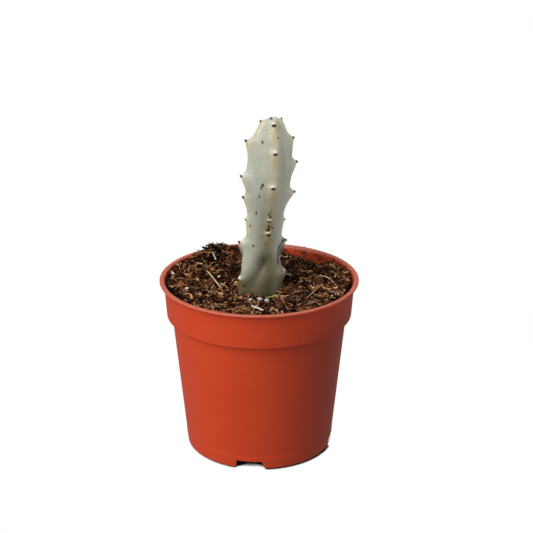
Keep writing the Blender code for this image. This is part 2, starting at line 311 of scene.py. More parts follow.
def pick(made, wanted):
    """Selects the edges whose two ends are both wanted, in edit mode."""
    bpy.ops.mesh.select_mode(type="EDGE")
    bpy.ops.mesh.select_all(action="DESELECT")
    edit = bmesh.from_edit_mesh(made.data)
    for edge in edit.edges:
        if wanted(edge.verts[0].co) and wanted(edge.verts[1].co):
            edge.select = True
    bmesh.update_edit_mesh(made.data)


def pick_ring(made, radius, height):
    """Selects the ring edge at that radius and height."""
    pick(made, lambda v: abs(math.hypot(v.x, v.y) - radius) < NEAR and abs(v.z - height) < NEAR)


def close_up(made, angle):
    """Merges doubles, turns every face outwards and smooths the surface up to that angle."""
    if made.mode != "EDIT":
        start_fresh()
        bpy.context.view_layer.objects.active = made
        made.select_set(True)
        bpy.ops.object.mode_set(mode="EDIT")
    bpy.ops.mesh.select_all(action="SELECT")
    bpy.ops.mesh.remove_doubles(threshold=0.002 * MM)
    bpy.ops.mesh.normals_make_consistent(inside=False)
    bpy.ops.object.mode_set(mode="OBJECT")
    bpy.ops.object.transform_apply(location=True, rotation=True, scale=True)
    bpy.ops.object.shade_smooth_by_angle(angle=math.radians(angle))


def cut_away(made, cutter):
    """Cuts the cutter's shape out of a piece."""
    start_fresh()
    bpy.context.view_layer.objects.active = made
    made.select_set(True)
    cutting = made.modifiers.new("cut", "BOOLEAN")
    cutting.operation = "DIFFERENCE"
    cutting.solver = "EXACT"
    cutting.object = cutter
    bpy.ops.object.modifier_apply(modifier=cutting.name)
    bpy.data.objects.remove(cutter)


pot_profile = held([
    (FLOOR_RADIUS, FLOOR_TOP),
    (BODY_FOOT_RADIUS - WALL, FLOOR_TOP),
    (BODY_TOP_RADIUS - WALL, COLLAR_FOOT - WALL),
    (BODY_TOP_RADIUS - WALL, COLLAR_FOOT),
    (COLLAR_FOOT_RADIUS - WALL, COLLAR_FOOT + WALL),
    (COLLAR_TOP_RADIUS - WALL, LIP_TOP - LIP_THICKNESS),
    (COLLAR_TOP_RADIUS, LIP_TOP),
    (LIP_RADIUS, LIP_TOP),
    (LIP_RADIUS, LIP_TOP - LIP_THICKNESS),
    (COLLAR_TOP_RADIUS, LIP_TOP - LIP_THICKNESS),
    (COLLAR_FOOT_RADIUS, COLLAR_FOOT),
    (BODY_TOP_RADIUS, COLLAR_FOOT - SHOULDER_DROP),
    (BODY_FOOT_RADIUS, BODY_FOOT + RING_STEP),
    (BODY_FOOT_RADIUS + 0.5 * RING_STEP, BODY_FOOT),
    (RING_RADIUS, 0.0),
    (RING_RADIUS - RING_WALL, 0.0),
    (RING_RADIUS - RING_WALL, FLOOR_UNDERSIDE),
    (FLOOR_RADIUS, FLOOR_UNDERSIDE),
])
pot = turn_profile("nursery_pot", pot_profile, POT_SIDES)
ROUNDED_RINGS = (
    (LIP_RADIUS, LIP_TOP, 0.45 * MM, 3),
    (COLLAR_TOP_RADIUS, LIP_TOP, 0.3 * MM, 2),
    (LIP_RADIUS, LIP_TOP - LIP_THICKNESS, 0.25 * MM, 2),
    (COLLAR_FOOT_RADIUS, COLLAR_FOOT, 0.3 * MM, 3),
    (BODY_TOP_RADIUS, COLLAR_FOOT - SHOULDER_DROP, 0.12 * MM, 2),
    (RING_RADIUS, 0.0, 0.3 * MM, 2),
)
for radius, height, width, steps in ROUNDED_RINGS:
    pick_ring(pot, radius, height)
    bpy.ops.mesh.bevel(offset=width, segments=steps, affect="EDGES")
close_up(pot, POT_CREASE)

for i in range(NOTCH_COUNT):
    angle = NOTCH_FIRST_ANGLE + i * math.tau / NOTCH_COUNT
    start_fresh()
    bpy.ops.mesh.primitive_cube_add(size=1.0)
    notch = bpy.context.object
    bpy.ops.object.mode_set(mode="EDIT")
    bpy.ops.transform.resize(value=(NOTCH_DEPTH, NOTCH_WIDTH, 2 * NOTCH_HEIGHT))
    pick(notch, lambda v: v.y > 0 and v.z > 0)
    bpy.ops.transform.translate(value=(0, -NOTCH_SLANT / 2, 0))
    bpy.ops.mesh.bevel(offset=NOTCH_CORNER, segments=5, affect="EDGES")
    pick(notch, lambda v: v.y > 0 and v.z < 0)
    bpy.ops.transform.translate(value=(0, NOTCH_SLANT, 0))
    bpy.ops.object.mode_set(mode="OBJECT")
    notch.rotation_euler = (0, 0, angle)
    notch.location = RING_RADIUS * Vector((math.cos(angle), math.sin(angle), 0))
    cut_away(pot, notch)

start_fresh()
for i in range(HOLE_COUNT):
    angle = NOTCH_FIRST_ANGLE + (i + 0.5) * math.tau / HOLE_COUNT
    bpy.ops.mesh.primitive_cylinder_add(
        vertices=32, radius=HOLE_RADIUS, depth=HOLE_DEPTH,
        location=(HOLE_CIRCLE * math.cos(angle), HOLE_CIRCLE * math.sin(angle), FLOOR_UNDERSIDE),
    )
    bpy.context.object.name = f"drain_{i}"
drains = [o for o in bpy.data.objects if o.name.startswith("drain_")]
for drain in drains:
    drain.select_set(True)
bpy.context.view_layer.objects.active = drains[0]
bpy.ops.object.join()
cut_away(pot, drains[0])
close_up(pot, POT_CREASE)

# The wall's inner side is marked, so that the soil's dust and a painted shade lie on it alone.
inside = []
for vertex in pot.data.vertices:
    flat = vertex.co.to_2d()
    faces_in = vertex.normal.to_2d().dot(flat) < -0.5 * flat.length
    inside.append(float(faces_in and vertex.co.z > FLOOR_TOP - 0.5 * FLOOR_THICKNESS))
pot.data.attributes.new("inside", "FLOAT", "POINT").data.foreach_set("value", inside)


def per(size):
    """A texture's scale for a pattern that repeats every so many millimetres."""
    return 1000 / size


# Polypropylene, injection moulded: a smooth satin orange-brown, lighter on the lip from scuffs and a
# painted highlight, a faint orange peel in its gloss, and soil dust and painted shade on the inner wall.
polypropylene = start_material("moulded_terracotta_polypropylene")
tree = polypropylene.node_tree
place = add_node(tree, "ShaderNodeTexCoord")
axes = add_node(tree, "ShaderNodeSeparateXYZ", {}, {"Vector": (place, "Object")})
cloud = add_node(
    tree, "ShaderNodeTexNoise", {"Scale": per(38), "Detail": 3.0, "Roughness": 0.6},
    {"Vector": (place, "Object")},
)
body_colour = add_node(
    tree, "ShaderNodeValToRGB", {"stops": [(0.3, "#D94215"), (0.7, "#E14718")]}, {"Fac": (cloud, 0)},
)
grain = add_node(
    tree, "ShaderNodeTexNoise", {"Scale": per(0.9), "Detail": 2.0, "Roughness": 0.6},
    {"Vector": (place, "Object")},
)
grain_tone = add_node(
    tree, "ShaderNodeValToRGB", {"stops": [(0.3, "#F5F5F5"), (0.7, "#FFFFFF")]}, {"Fac": (grain, 0)},
)
speckled = add_node(
    tree, "ShaderNodeMix", {"data_type": "RGBA", "blend_type": "MULTIPLY", 0: 1.0},
    {6: body_colour, 7: grain_tone},
)
lip_mask = add_node(
    tree, "ShaderNodeMapRange",
    {"From Min": LIP_TOP - 1.05 * MM, "From Max": LIP_TOP - 0.5 * MM, "To Max": 0.75},
    {"Value": (axes, "Z")},
)
scuff = add_node(
    tree, "ShaderNodeTexNoise", {"Scale": per(2.2), "Detail": 4.0, "Roughness": 0.7, "Distortion": 0.6},
    {"Vector": (place, "Object")},
)
scuff_mask = add_node(
    tree, "ShaderNodeMapRange", {"From Min": 0.35, "From Max": 0.6, "To Min": 0.35}, {"Value": (scuff, 0)},
)
lip_wear_and_highlight = add_node(tree, "ShaderNodeMath", {"operation": "MULTIPLY"}, {0: lip_mask, 1: scuff_mask})
# Painted highlight: the lip is mixed part way to a light pink, more where its scuffs are.
with_lip = add_node(
    tree, "ShaderNodeMix", {"data_type": "RGBA", 7: linear("#D2826C")}, {0: lip_wear_and_highlight, 6: (speckled, 2)},
)
inner_mask = add_node(tree, "ShaderNodeAttribute", {"attribute_name": "inside"})
dust = add_node(
    tree, "ShaderNodeTexNoise", {"Scale": per(2.6), "Detail": 5.0, "Roughness": 0.75},
    {"Vector": (place, "Object")},
)
# Painted shade: the whole inner wall goes a quarter of the way to dark brown, more where dust lies.
dust_and_shade_mask = add_node(
    tree, "ShaderNodeMapRange", {"From Min": 0.48, "From Max": 0.62, "To Min": 0.25}, {"Value": (dust, 0)},
)
dust_and_shade = add_node(tree, "ShaderNodeMath", {"operation": "MULTIPLY"}, {0: (inner_mask, "Fac"), 1: dust_and_shade_mask})
with_dust_and_shade = add_node(
    tree, "ShaderNodeMix", {"data_type": "RGBA", 7: linear("#4A2214")}, {0: dust_and_shade, 6: (with_lip, 2)},
)
gloss = add_node(tree, "ShaderNodeMapRange", {"To Min": 0.46, "To Max": 0.54}, {"Value": (cloud, 0)})
peel = add_node(tree, "ShaderNodeBump", {"Strength": 0.25, "Distance": 0.02 * MM}, {"Height": (grain, 0)})
nicks = add_node(
    tree, "ShaderNodeBump", {"Strength": 0.5, "Distance": 0.15 * MM},
    {"Height": lip_wear_and_highlight, "Normal": peel},
)
skin = add_node(
    tree, "ShaderNodeBsdfPrincipled", {"IOR": 1.49, "Specular IOR Level": 0.46},
    {"Base Color": (with_dust_and_shade, 2), "Roughness": gloss, "Normal": nicks},
)
add_node(tree, "ShaderNodeOutputMaterial", {}, {"Surface": skin})
pot.data.materials.append(polypropylene)
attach(pot, "root")
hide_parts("pot")


# ---- soil ----------------------------------------------------------------------------------------
# Potting soil of coconut coir and bark: a loose brown mass with dark gaps, heaped at the back left
# and dished at the back right and round the stem. Its own crumbs and fibres lie on top of it.

SOIL_LEVEL = 88.4 * MM
GAP = 0.3 * MM
SOIL_RIM = COLLAR_TOP_RADIUS - WALL - 2 * GAP
SOIL_FOOT = FLOOR_TOP + GAP
PITH_DEPTH = 0.9 * MM
SOIL_CREASE = 60
SOIL_SEGMENTS = 256
SOIL_RINGS = 190
SOIL_TOP_RINGS = 150
SOIL_SIDE_RINGS = 30


# Where the soil swells or dips: its rise, its place and how far it spreads, in millimetres. They are
# the heap, the left and right edges, a dip beside the heap, the dish at the back right, and the stem.
SWELLS = (
    (6.5, -25.5, 34, 12.3), (1.5, -44, 6, 13), (1.6, 46, 4, 13),
    (-2.6, -39, 29, 5.5), (-3.2, 27, 40, 11), (-3.9, 0, 0, 14),
)
SHELF_RISE = 2.2
SHELF_START = 30.0
SHELF_WIDTH = 15.0
EDGE_START = 47.6
EDGE_SLOPE = 1.5


def bump(x, y, spread):
    """A soft round bump, 1 at its middle."""
    return math.exp(-(x * x + y * y) / (2 * spread * spread))


def soil_level(x, y):
    """The soil's surface without its lumps: it climbs to a shelf near the wall and falls off there."""
    x, y = x / MM, y / MM
    reach = math.hypot(x, y)
    climb = min(1.0, max(0.0, (reach - SHELF_START) / SHELF_WIDTH))
    level = SHELF_RISE * climb * climb * (3 - 2 * climb) - EDGE_SLOPE * max(0.0, reach - EDGE_START)
    level += sum(rise * bump(x - swell_x, y - swell_y, spread) for rise, swell_x, swell_y, spread in SWELLS)
    return SOIL_LEVEL + level * MM


def soil_top(x, y):
    """The soil's surface with its clods and crumbs, which are a few millimetres across."""
    clods = noise.noise(Vector((x * per(10), y * per(10), 4.0)))
    lumps = noise.noise(Vector((x * per(4.2), y * per(4.2), 9.0)))
    crumbs = noise.noise(Vector((x * per(1.8), y * per(1.8), 2.0)))
    return soil_level(x, y) + (1.3 * clods + 1.7 * lumps + 0.6 * crumbs - 0.5) * MM


start_fresh()
bpy.ops.mesh.primitive_uv_sphere_add(segments=SOIL_SEGMENTS, ring_count=SOIL_RINGS, radius=1.0)
soil = bpy.context.object
soil.name = "soil_mass"
for vertex in soil.data.vertices:
    x, y, z = vertex.co
    ring = math.acos(max(-1.0, min(1.0, z))) / math.pi * SOIL_RINGS
    flat_length = math.hypot(x, y)
    across = Vector((x, y)) / flat_length if flat_length > 1e-6 else Vector((1.0, 0.0))
    if ring <= SOIL_TOP_RINGS:
        radius = SOIL_RIM * ring / SOIL_TOP_RINGS
        height = soil_top(across.x * radius, across.y * radius) - PITH_DEPTH
    elif ring <= SOIL_TOP_RINGS + SOIL_SIDE_RINGS:
        share = (ring - SOIL_TOP_RINGS) / SOIL_SIDE_RINGS
        edge_height = soil_top(across.x * SOIL_RIM, across.y * SOIL_RIM) - PITH_DEPTH
        height = edge_height + (SOIL_FOOT - edge_height) * share
        if height > COLLAR_FOOT + WALL:
            slope = (COLLAR_TOP_RADIUS - COLLAR_FOOT_RADIUS) / (LIP_TOP - COLLAR_FOOT)
            wall = COLLAR_FOOT_RADIUS + slope * (height - COLLAR_FOOT) - WALL
        else:
            slope = (BODY_TOP_RADIUS - BODY_FOOT_RADIUS) / (COLLAR_FOOT - BODY_FOOT)
            wall = min(BODY_FOOT_RADIUS + slope * (height - BODY_FOOT), BODY_TOP_RADIUS) - WALL
        radius = wall - 2 * GAP
    else:
        share = (SOIL_RINGS - ring) / (SOIL_RINGS - SOIL_TOP_RINGS - SOIL_SIDE_RINGS)
        height = SOIL_FOOT
        radius = (BODY_FOOT_RADIUS - WALL - 2 * GAP) * share
    vertex.co = (across.x * radius, across.y * radius, height)
close_up(soil, SOIL_CREASE)


def soil_material(name, stops, bump_size):
    """Coir soil: rough dry plant matter whose colour changes from crumb to crumb."""
    material = start_material(name)
    tree = material.node_tree
    place = add_node(tree, "ShaderNodeTexCoord")
    tint = add_node(tree, "ShaderNodeAttribute", {"attribute_name": "tint"})
    grit = add_node(
        tree, "ShaderNodeTexNoise", {"Scale": per(1.1), "Detail": 4.0, "Roughness": 0.7},
        {"Vector": (place, "Object")},
    )
    shift = add_node(
        tree, "ShaderNodeMapRange", {"From Min": 0.3, "From Max": 0.7, "To Min": -0.22, "To Max": 0.22},
        {"Value": (grit, 0)},
    )
    tone = add_node(
        tree, "ShaderNodeMath", {"operation": "ADD", "use_clamp": True}, {0: (tint, "Fac"), 1: shift},
    )
    colour = add_node(tree, "ShaderNodeValToRGB", {"stops": stops}, {"Fac": tone})
    relief = add_node(
        tree, "ShaderNodeBump", {"Strength": 0.8, "Distance": bump_size}, {"Height": (grit, 0)},
    )
    matter = add_node(
        tree, "ShaderNodeBsdfPrincipled", {"Roughness": 0.8, "Specular IOR Level": 0.14},
        {"Base Color": colour, "Normal": relief},
    )
    add_node(tree, "ShaderNodeOutputMaterial", {}, {"Surface": matter})
    return material


def give_tint(mesh, values):
    """Writes one number per vertex, which the soil's colour reads."""
    tint = mesh.attributes.new("tint", "FLOAT", "POINT")
    tint.data.foreach_set("value", np.asarray(values, np.float32))


# Coir pith, pressed and wetted: dark, and painted almost black in the gaps as their shade, which makes
# the crumbs above it stand out.
coir_pith = soil_material(
    "coir_pith_painted_gap_shade", [(0.0, "#040201"), (0.45, "#0B0603"), (0.75, "#1C0F08"), (1.0, "#341C10")], 0.5 * MM,
)
heights = np.array([v.co.z for v in soil.data.vertices])
levels = np.array([soil_level(v.co.x, v.co.y) for v in soil.data.vertices])
# Painted shade: the pith is darker where its surface lies lower, down in the gaps.
give_tint(soil.data, np.clip(0.42 + (heights - levels + PITH_DEPTH) / (3 * MM), 0.05, 0.8))
soil.data.materials.append(coir_pith)
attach(soil, "root")
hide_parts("soil")

SCATTER_SEED = 7
rng = np.random.default_rng(SCATTER_SEED)


def template(made):
    """The vertices and faces of a modelled piece, which is then thrown away."""
    start_fresh()
    points = np.array([v.co for v in made.data.vertices])
    faces = [tuple(p.vertices) for p in made.data.polygons]
    bpy.data.objects.remove(made)
    return points, faces


def turns(headings, pitches, rolls):
    """Turning matrices: a roll about X, then a pitch about Y, then a heading about Z."""
    n = len(headings)
    made = []
    for first, second, angles in ((1, 2, rolls), (0, 2, -pitches), (0, 1, headings)):
        matrix = np.zeros((n, 3, 3))
        matrix[:] = np.eye(3)
        matrix[:, first, first] = matrix[:, second, second] = np.cos(angles)
        matrix[:, first, second] = -np.sin(angles)
        matrix[:, second, first] = np.sin(angles)
        made.append(matrix)
    return made[2] @ made[1] @ made[0]


def copies(name, shapes, faces, places, turning, tints, material):
    """One piece made of many copies: shapes holds each copy's own vertices before it is turned."""
    points = np.einsum("nij,nvj->nvi", turning, shapes) + places[:, None, :]
    n, v = points.shape[:2]
    all_faces = [tuple(k + v * i for k in face) for i in range(n) for face in faces]
    mesh = bpy.data.meshes.new(name)
    mesh.from_pydata(points.reshape(-1, 3), [], all_faces)
    mesh.update()
    made = bpy.data.objects.new(name, mesh)
    bpy.context.scene.collection.objects.link(made)
    give_tint(mesh, np.repeat(tints, v))
    mesh.materials.append(material)
    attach(made, "root")
    return made


# A crumb is a rough lump. Three are modelled, and each crumb is one of them, turned and stretched.
CRUMB_KINDS = 3
start_fresh()
crumb_shapes = []
for kind in range(CRUMB_KINDS):
    bpy.ops.mesh.primitive_ico_sphere_add(subdivisions=1, radius=0.5)
    lump = bpy.context.object
    bpy.ops.object.mode_set(mode="EDIT")
    bpy.ops.mesh.select_all(action="SELECT")
    bpy.ops.transform.vertex_random(offset=0.12, uniform=1.0, seed=kind + 1)
    bpy.ops.object.mode_set(mode="OBJECT")
    crumb_points, crumb_faces = template(lump)
    crumb_shapes.append(crumb_points)
crumb_shapes = np.array(crumb_shapes)

STEM_SPACE = 10.0 * MM
STEM_SHIFT = 0.5 * MM
CRUMB_EDGE = 0.4 * MM
FIBRE_EDGE = 1.5 * MM
FIBRE_CLEAR = 1.0 * MM
# Damp spots, which look darker: their strength, place and spread in millimetres.
DAMP_SPOTS = ((1.0, 24, 22, 13), (1.0, -24, 36, 9), (0.8, 18, -26, 11))


def soil_places(count, widest, clear):
    """Random places on the soil, clear of the stem."""
    found = []
    while len(found) < count:
        x, y = rng.uniform(-widest, widest, 2)
        if math.hypot(x, y) < widest and math.hypot(x - STEM_SHIFT, y) > clear:
            found.append((x, y))
    return np.array(found)


def soil_tints(flat_places, middle, spread):
    """Each bit's lightness: painted shade darkens the bits lying low in the gaps, and it changes from clod
    to clod.
    """
    lift = np.array([(soil_top(x, y) - soil_level(x, y)) / MM + 0.5 for x, y in flat_places])
    clod = np.array([noise.noise(Vector((x * per(7), y * per(7), 30.0))) for x, y in flat_places])
    damp = np.array([
        sum(wet * bump(x / MM - damp_x, y / MM - damp_y, wide) for wet, damp_x, damp_y, wide in DAMP_SPOTS)
        for x, y in flat_places
    ])
    # Painted shade: the lower a bit lies, in the gaps, the darker its tint.
    tints = rng.normal(middle, 1.15 * spread, len(flat_places)) + 0.12 * lift + 0.3 * clod - 0.1 * damp
    return np.clip(tints, 0.02, 0.98)


def scatter_crumbs(name, count, low, high, sink, lift, flatness, material, tint_low, tint_high):
    """Scatters crumbs of a size range over the soil."""
    flat_places = soil_places(count, SOIL_RIM - CRUMB_EDGE, STEM_SPACE)
    size = low + (high - low) * rng.random(count) ** 2.2
    height = np.array([soil_top(x, y) for x, y in flat_places])
    height += size * rng.uniform(sink, lift, count)
    stretch = np.stack([
        rng.uniform(0.8, 1.7, count), rng.uniform(0.6, 1.1, count), rng.uniform(*flatness, count),
    ], -1)
    shapes = crumb_shapes[rng.integers(0, CRUMB_KINDS, count)] * (size[:, None] * stretch)[:, None, :]
    turning = turns(
        rng.uniform(0, math.tau, count), rng.normal(0, 0.5, count), rng.uniform(0, math.tau, count),
    )
    tints = soil_tints(flat_places, (tint_low + tint_high) / 2, (tint_high - tint_low) / 3)
    places = np.column_stack([flat_places, height])
    copies(name, shapes, crumb_faces, places, turning, tints, material)


# Coir crumbs, sieved and dry on top: red-brown with paler broken faces, no shine.
coir_crumb = soil_material(
    "dry_coir_crumb",
    [(0.0, "#050201"), (0.35, "#190C06"), (0.6, "#532D1B"), (0.8, "#9A5E39"), (1.0, "#DDA873")], 0.25 * MM,
)
scatter_crumbs("soil_crumbs_fine", 2700, 0.7 * MM, 1.9 * MM, -0.5, 0.2, (0.5, 0.9), coir_crumb, -0.05, 0.5)
scatter_crumbs("soil_crumbs_coarse", 1000, 1.4 * MM, 3.0 * MM, -0.3, 0.3, (0.4, 0.8), coir_crumb, 0.0, 0.7)

# A coir fibre is a flattened, bent strand that tapers at both ends.
FIBRE_STEPS = 6
start_fresh()
bpy.ops.mesh.primitive_circle_add(vertices=4, radius=0.25, fill_type="NGON")
strand_start = bpy.context.object
bpy.ops.object.mode_set(mode="EDIT")
bpy.ops.mesh.select_all(action="SELECT")
for step in range(FIBRE_STEPS):
    growth = 2.0 if step == 0 else 0.5 if step == FIBRE_STEPS - 1 else 1.0
    bpy.ops.mesh.extrude_region_move(TRANSFORM_OT_translate={"value": (0, 0, 1 / FIBRE_STEPS)})
    bpy.ops.transform.resize(value=(growth, growth, 1), center_override=(0, 0, (step + 1) / FIBRE_STEPS))
bpy.ops.mesh.select_all(action="SELECT")
bpy.ops.mesh.normals_make_consistent(inside=False)
bpy.ops.object.mode_set(mode="OBJECT")
fibre_points, fibre_faces = template(strand_start)
fibre_points = np.column_stack([fibre_points[:, 2] - 0.5, fibre_points[:, 0], fibre_points[:, 1]])


def fibre_shapes(lengths, widths, bends, waves):
    """Each fibre's own vertices: drawn out along X, flattened, bent and waved."""
    along = fibre_points[None, :, 0]
    phase = rng.uniform(0, math.tau, len(lengths))[:, None]
    x = along * lengths[:, None]
    y = fibre_points[None, :, 1] * widths[:, None] + bends[:, None] * lengths[:, None] * (along ** 2 - 0.08)
    z = fibre_points[None, :, 2] * widths[:, None] * 0.6
    y = y + waves[:, None] * lengths[:, None] * np.sin(along * 7 + phase) * 0.12
    z = z + waves[:, None] * lengths[:, None] * np.cos(along * 5 + phase) * 0.07
    return np.stack([x, y, z], -1)


def scatter_fibres(name, count, usual, longest, thinnest, thickest, lift, material, tint_middle):
    """Scatters coir fibres over the soil, lying in every direction."""
    flat_places = soil_places(count, SOIL_RIM - FIBRE_EDGE, STEM_SPACE + FIBRE_CLEAR)
    lengths = np.clip(rng.lognormal(math.log(usual), 0.45, count), 1.2, longest) * MM
    widths = rng.uniform(thinnest, thickest, count)
    height = np.array([soil_top(x, y) for x, y in flat_places]) + rng.uniform(0.1, 1.0, count) * lift
    shapes = fibre_shapes(lengths, widths, rng.normal(0, 0.5, count), rng.uniform(0, 1.4, count))
    turning = turns(
        rng.uniform(0, math.tau, count), rng.normal(0, 0.22, count), rng.uniform(0, math.tau, count),
    )
    tints = soil_tints(flat_places, tint_middle, 0.22)
    places = np.column_stack([flat_places, height])
    rim = np.hypot(places[:, 0], places[:, 1]) + lengths / 2 > SOIL_RIM
    shapes[rim, :, 0] *= 0.5
    copies(name, shapes, fibre_faces, places, turning, tints, material)


# Coir fibre, husked and torn: tan to red-brown strands with a slight sheen along them.
coir_fibre = soil_material(
    "torn_coir_fibre",
    [(0.0, "#080402"), (0.35, "#251109"), (0.6, "#6B3A23"), (0.8, "#B67748"), (1.0, "#F2C592")], 0.1 * MM,
)
scatter_fibres("soil_fibres_thick", 2400, 2.6, 6.5, 0.45 * MM, 0.9 * MM, 1.1 * MM, coir_fibre, 0.40)
scatter_fibres("soil_fibres_thin", 2200, 3.4, 9.0, 0.3 * MM, 0.55 * MM, 1.3 * MM, coir_fibre, 0.52)

# Dark wiry fibres stand up from the top of the heap.
WIRY_COUNT = 24
WIRY_SHORTEST = 1.5 * MM
WIRY_LIFT = 0.9 * MM

wiry_flat = np.column_stack([rng.normal(-23.5, 4.0, WIRY_COUNT), rng.normal(37.0, 1.6, WIRY_COUNT)]) * MM
wiry_length = np.minimum(rng.uniform(2.4, 5.0, WIRY_COUNT) * MM, 2 * (SOIL_RIM - np.hypot(*wiry_flat.T)))
wiry_length = np.maximum(wiry_length, WIRY_SHORTEST)
wiry_shapes = fibre_shapes(
    wiry_length, rng.uniform(0.3, 0.5, WIRY_COUNT) * MM, rng.normal(0, 0.7, WIRY_COUNT),
    rng.uniform(0.5, 2.0, WIRY_COUNT),
)
wiry = copies(
    "soil_fibres_wiry", wiry_shapes, fibre_faces,
    np.column_stack([wiry_flat, [soil_top(x, y) + WIRY_LIFT for x, y in wiry_flat]]),
    turns(rng.uniform(0, math.tau, WIRY_COUNT), rng.normal(0, 0.45, WIRY_COUNT), np.zeros(WIRY_COUNT)),
    rng.uniform(0.12, 0.42, WIRY_COUNT), coir_fibre,
)


# ---- stem ----------------------------------------------------------------------------------------
# One young succulent stem with four ribs. Its skin is smooth, waxy and grey-white, with cream along
# the ribs, brown corky scars, and a dark pair of stubs on every tubercle.

RIB_ANGLES = (-76.5, 10.0, 100.0, 190.0)
RIB_SPREAD = (36.0, 24.0, 24.0, 24.0)
FOOT_TWIST = (0.0, -18.0, 0.0, 23.0)
TUBERCLE_SPREAD = 17.0
TIP_SPREAD = 8.0
FACE_RATIO = 0.73
RIB_SHARE = (0.79, 1.0, 0.95, 1.0)
STEM_FOOT = 62.0
CROWN_HEIGHT = 178.8
CROWN_RISE = 0.4
CROWN_TILT = 0.4
CROWN_SLANT = 0.09
# Heights with how far the stem's axis leans, and heights with the ribs' radius, in millimetres.
AXIS_LEAN = (
    (60, -1.3), (85, -0.8), (93, 0.1), (101, 1.1), (110, 2.0), (118, 2.6), (140, 4.4), (160, 5.7),
    (180, 6.4),
)
RIB_RADIUS = (
    (60, 8.0), (72, 10.4), (80, 11.6), (88, 12.1), (94, 11.8), (100, 11.2), (108, 10.7), (116, 9.3),
    (123, 9.0), (132, 9.9), (142, 11.4), (152, 11.8), (162, 11.2), (170, 9.3), (175, 6.8), (178, 4.9),
    (181, 3.9),
)
# Each rib's tubercles from the bottom up, as (height, size); the ribs are the front, right, back, left.
TUBERCLES = (
    ((119.5, 1.8), (126.5, 1.0), (145.2, 2.2), (163.3, 2.2), (176.9, 1.5)),
    ((96.7, 2.4), (113.0, 2.2), (124.5, 1.1), (139.5, 3.1), (155.7, 2.6), (168.6, 2.2), (178.9, 0.7)),
    ((101.0, 1.6), (117.0, 2.2), (131.0, 1.4), (144.0, 2.7), (160.0, 2.4), (172.0, 1.8)),
    ((94.3, 2.2), (113.3, 3.1), (125.6, 1.1), (137.9, 1.8), (149.4, 2.7), (168.5, 3.3), (178.6, 0.9)),
)
TUBERCLE_RISE = 1.9
TUBERCLE_FALL = 5.5
STEM_MEAN_RADIUS = 10.5
LEAN_BLEND = 3.0
RIB_BLEND = 1.3
HOLLOW_AZIMUTH = -85.0
HOLLOW_DEPTH = 3.2
STEM_CREASE = 60
STEM_SEGMENTS = 216
STEM_RINGS = 440
CROWN_RINGS = 26
FOOT_RINGS = 20


def smoothed(table, height, blur):
    """A table of (height, value) read at each height, with its corners rounded."""
    grid = np.arange(40.0, 200.0, 0.5)
    line = np.interp(grid, [h for h, _ in table], [v for _, v in table])
    window = np.exp(-0.5 * (np.arange(-20, 21) * 0.5 / blur) ** 2)
    soft = np.convolve(np.pad(line, 20, mode="edge"), window / window.sum(), mode="valid")
    return np.interp(height, grid, soft)


def step_up(value, low, high):
    """A smooth step from 0 at low to 1 at high."""
    share = np.clip((value - low) / (high - low), 0, 1)
    return share * share * (3 - 2 * share)


def angle_off(angle, middle):
    """How far an angle is from a middle one, between -180 and 180 degrees."""
    return (angle - middle + 180.0) % 360.0 - 180.0


def rib_line(number, height):
    """The angle of a rib at each height: the side ribs turn to the front at the foot."""
    return RIB_ANGLES[number] + FOOT_TWIST[number] * (1 - step_up(height, 95, 111))


def stem_radius(angle, height):
    """The stem's radius about its own axis in millimetres, for arrays of degrees and millimetres."""
    rib = smoothed(RIB_RADIUS, height, RIB_BLEND)
    face = rib * FACE_RATIO
    radius = face.copy()
    for number, tubercles in enumerate(TUBERCLES):
        off = angle_off(angle, rib_line(number, height))
        ridge = np.exp(-((off / RIB_SPREAD[number]) ** 2))
        if number == 0:
            ridge = ridge * (0.1 + 0.9 * step_up(height, 100.0, 120.0))
        radius += (rib * RIB_SHARE[number] - face) * ridge
        swell = np.zeros_like(radius)
        tip = np.zeros_like(radius)
        for z, size in tubercles:
            rise = height - z
            reach = np.where(rise > 0, TUBERCLE_RISE, TUBERCLE_FALL)
            swell = np.maximum(swell, size * np.exp(-((rise / reach) ** 2)))
            tip = np.maximum(tip, size * np.exp(-np.abs(rise) / (0.35 * reach + 0.3)))
        radius += 0.82 * swell * np.exp(-((off / TUBERCLE_SPREAD) ** 2))
        radius += 0.22 * tip * np.exp(-((off / TIP_SPREAD) ** 2))
    # The foot is hollowed at its front, and folded and cut at its right side.
    aside = angle_off(angle, HOLLOW_AZIMUTH)
    hollow_rise = (height - 101.5 - 0.09 * aside) / 6.5
    radius -= HOLLOW_DEPTH * np.exp(-((aside / 38.0) ** 2)) * np.exp(-(hollow_rise ** 2))
    fold = np.exp(-((angle_off(angle, -9 + (height - 106) * 1.4) / 6.0) ** 2))
    radius -= fold * step_up(height, 99, 102) * (1 - step_up(height, 112, 115))
    cut = np.exp(-((angle_off(angle, 4) / 22.0) ** 2)) * np.exp(-(((height - 104.5) / 4.5) ** 2))
    radius -= 1.5 * cut
    return radius


def tilted(height, across, depth):
    """Tips the growing tip: its back is lower, and its right side a little higher."""
    return height + (CROWN_SLANT * across - CROWN_TILT * np.maximum(0, depth)) * step_up(height, 164, 178)


def crown_lumps(across, depth):
    """The young tubercles that crowd the growing tip, as a rise in millimetres."""
    rise = 0.9 * np.exp(-(((across - 1.7) / 1.5) ** 2 + ((depth + 0.4) / 2.2) ** 2))
    return rise + 0.4 * np.exp(-(((across + 1.2) / 1.2) ** 2 + ((depth - 1.0) / 2.0) ** 2))


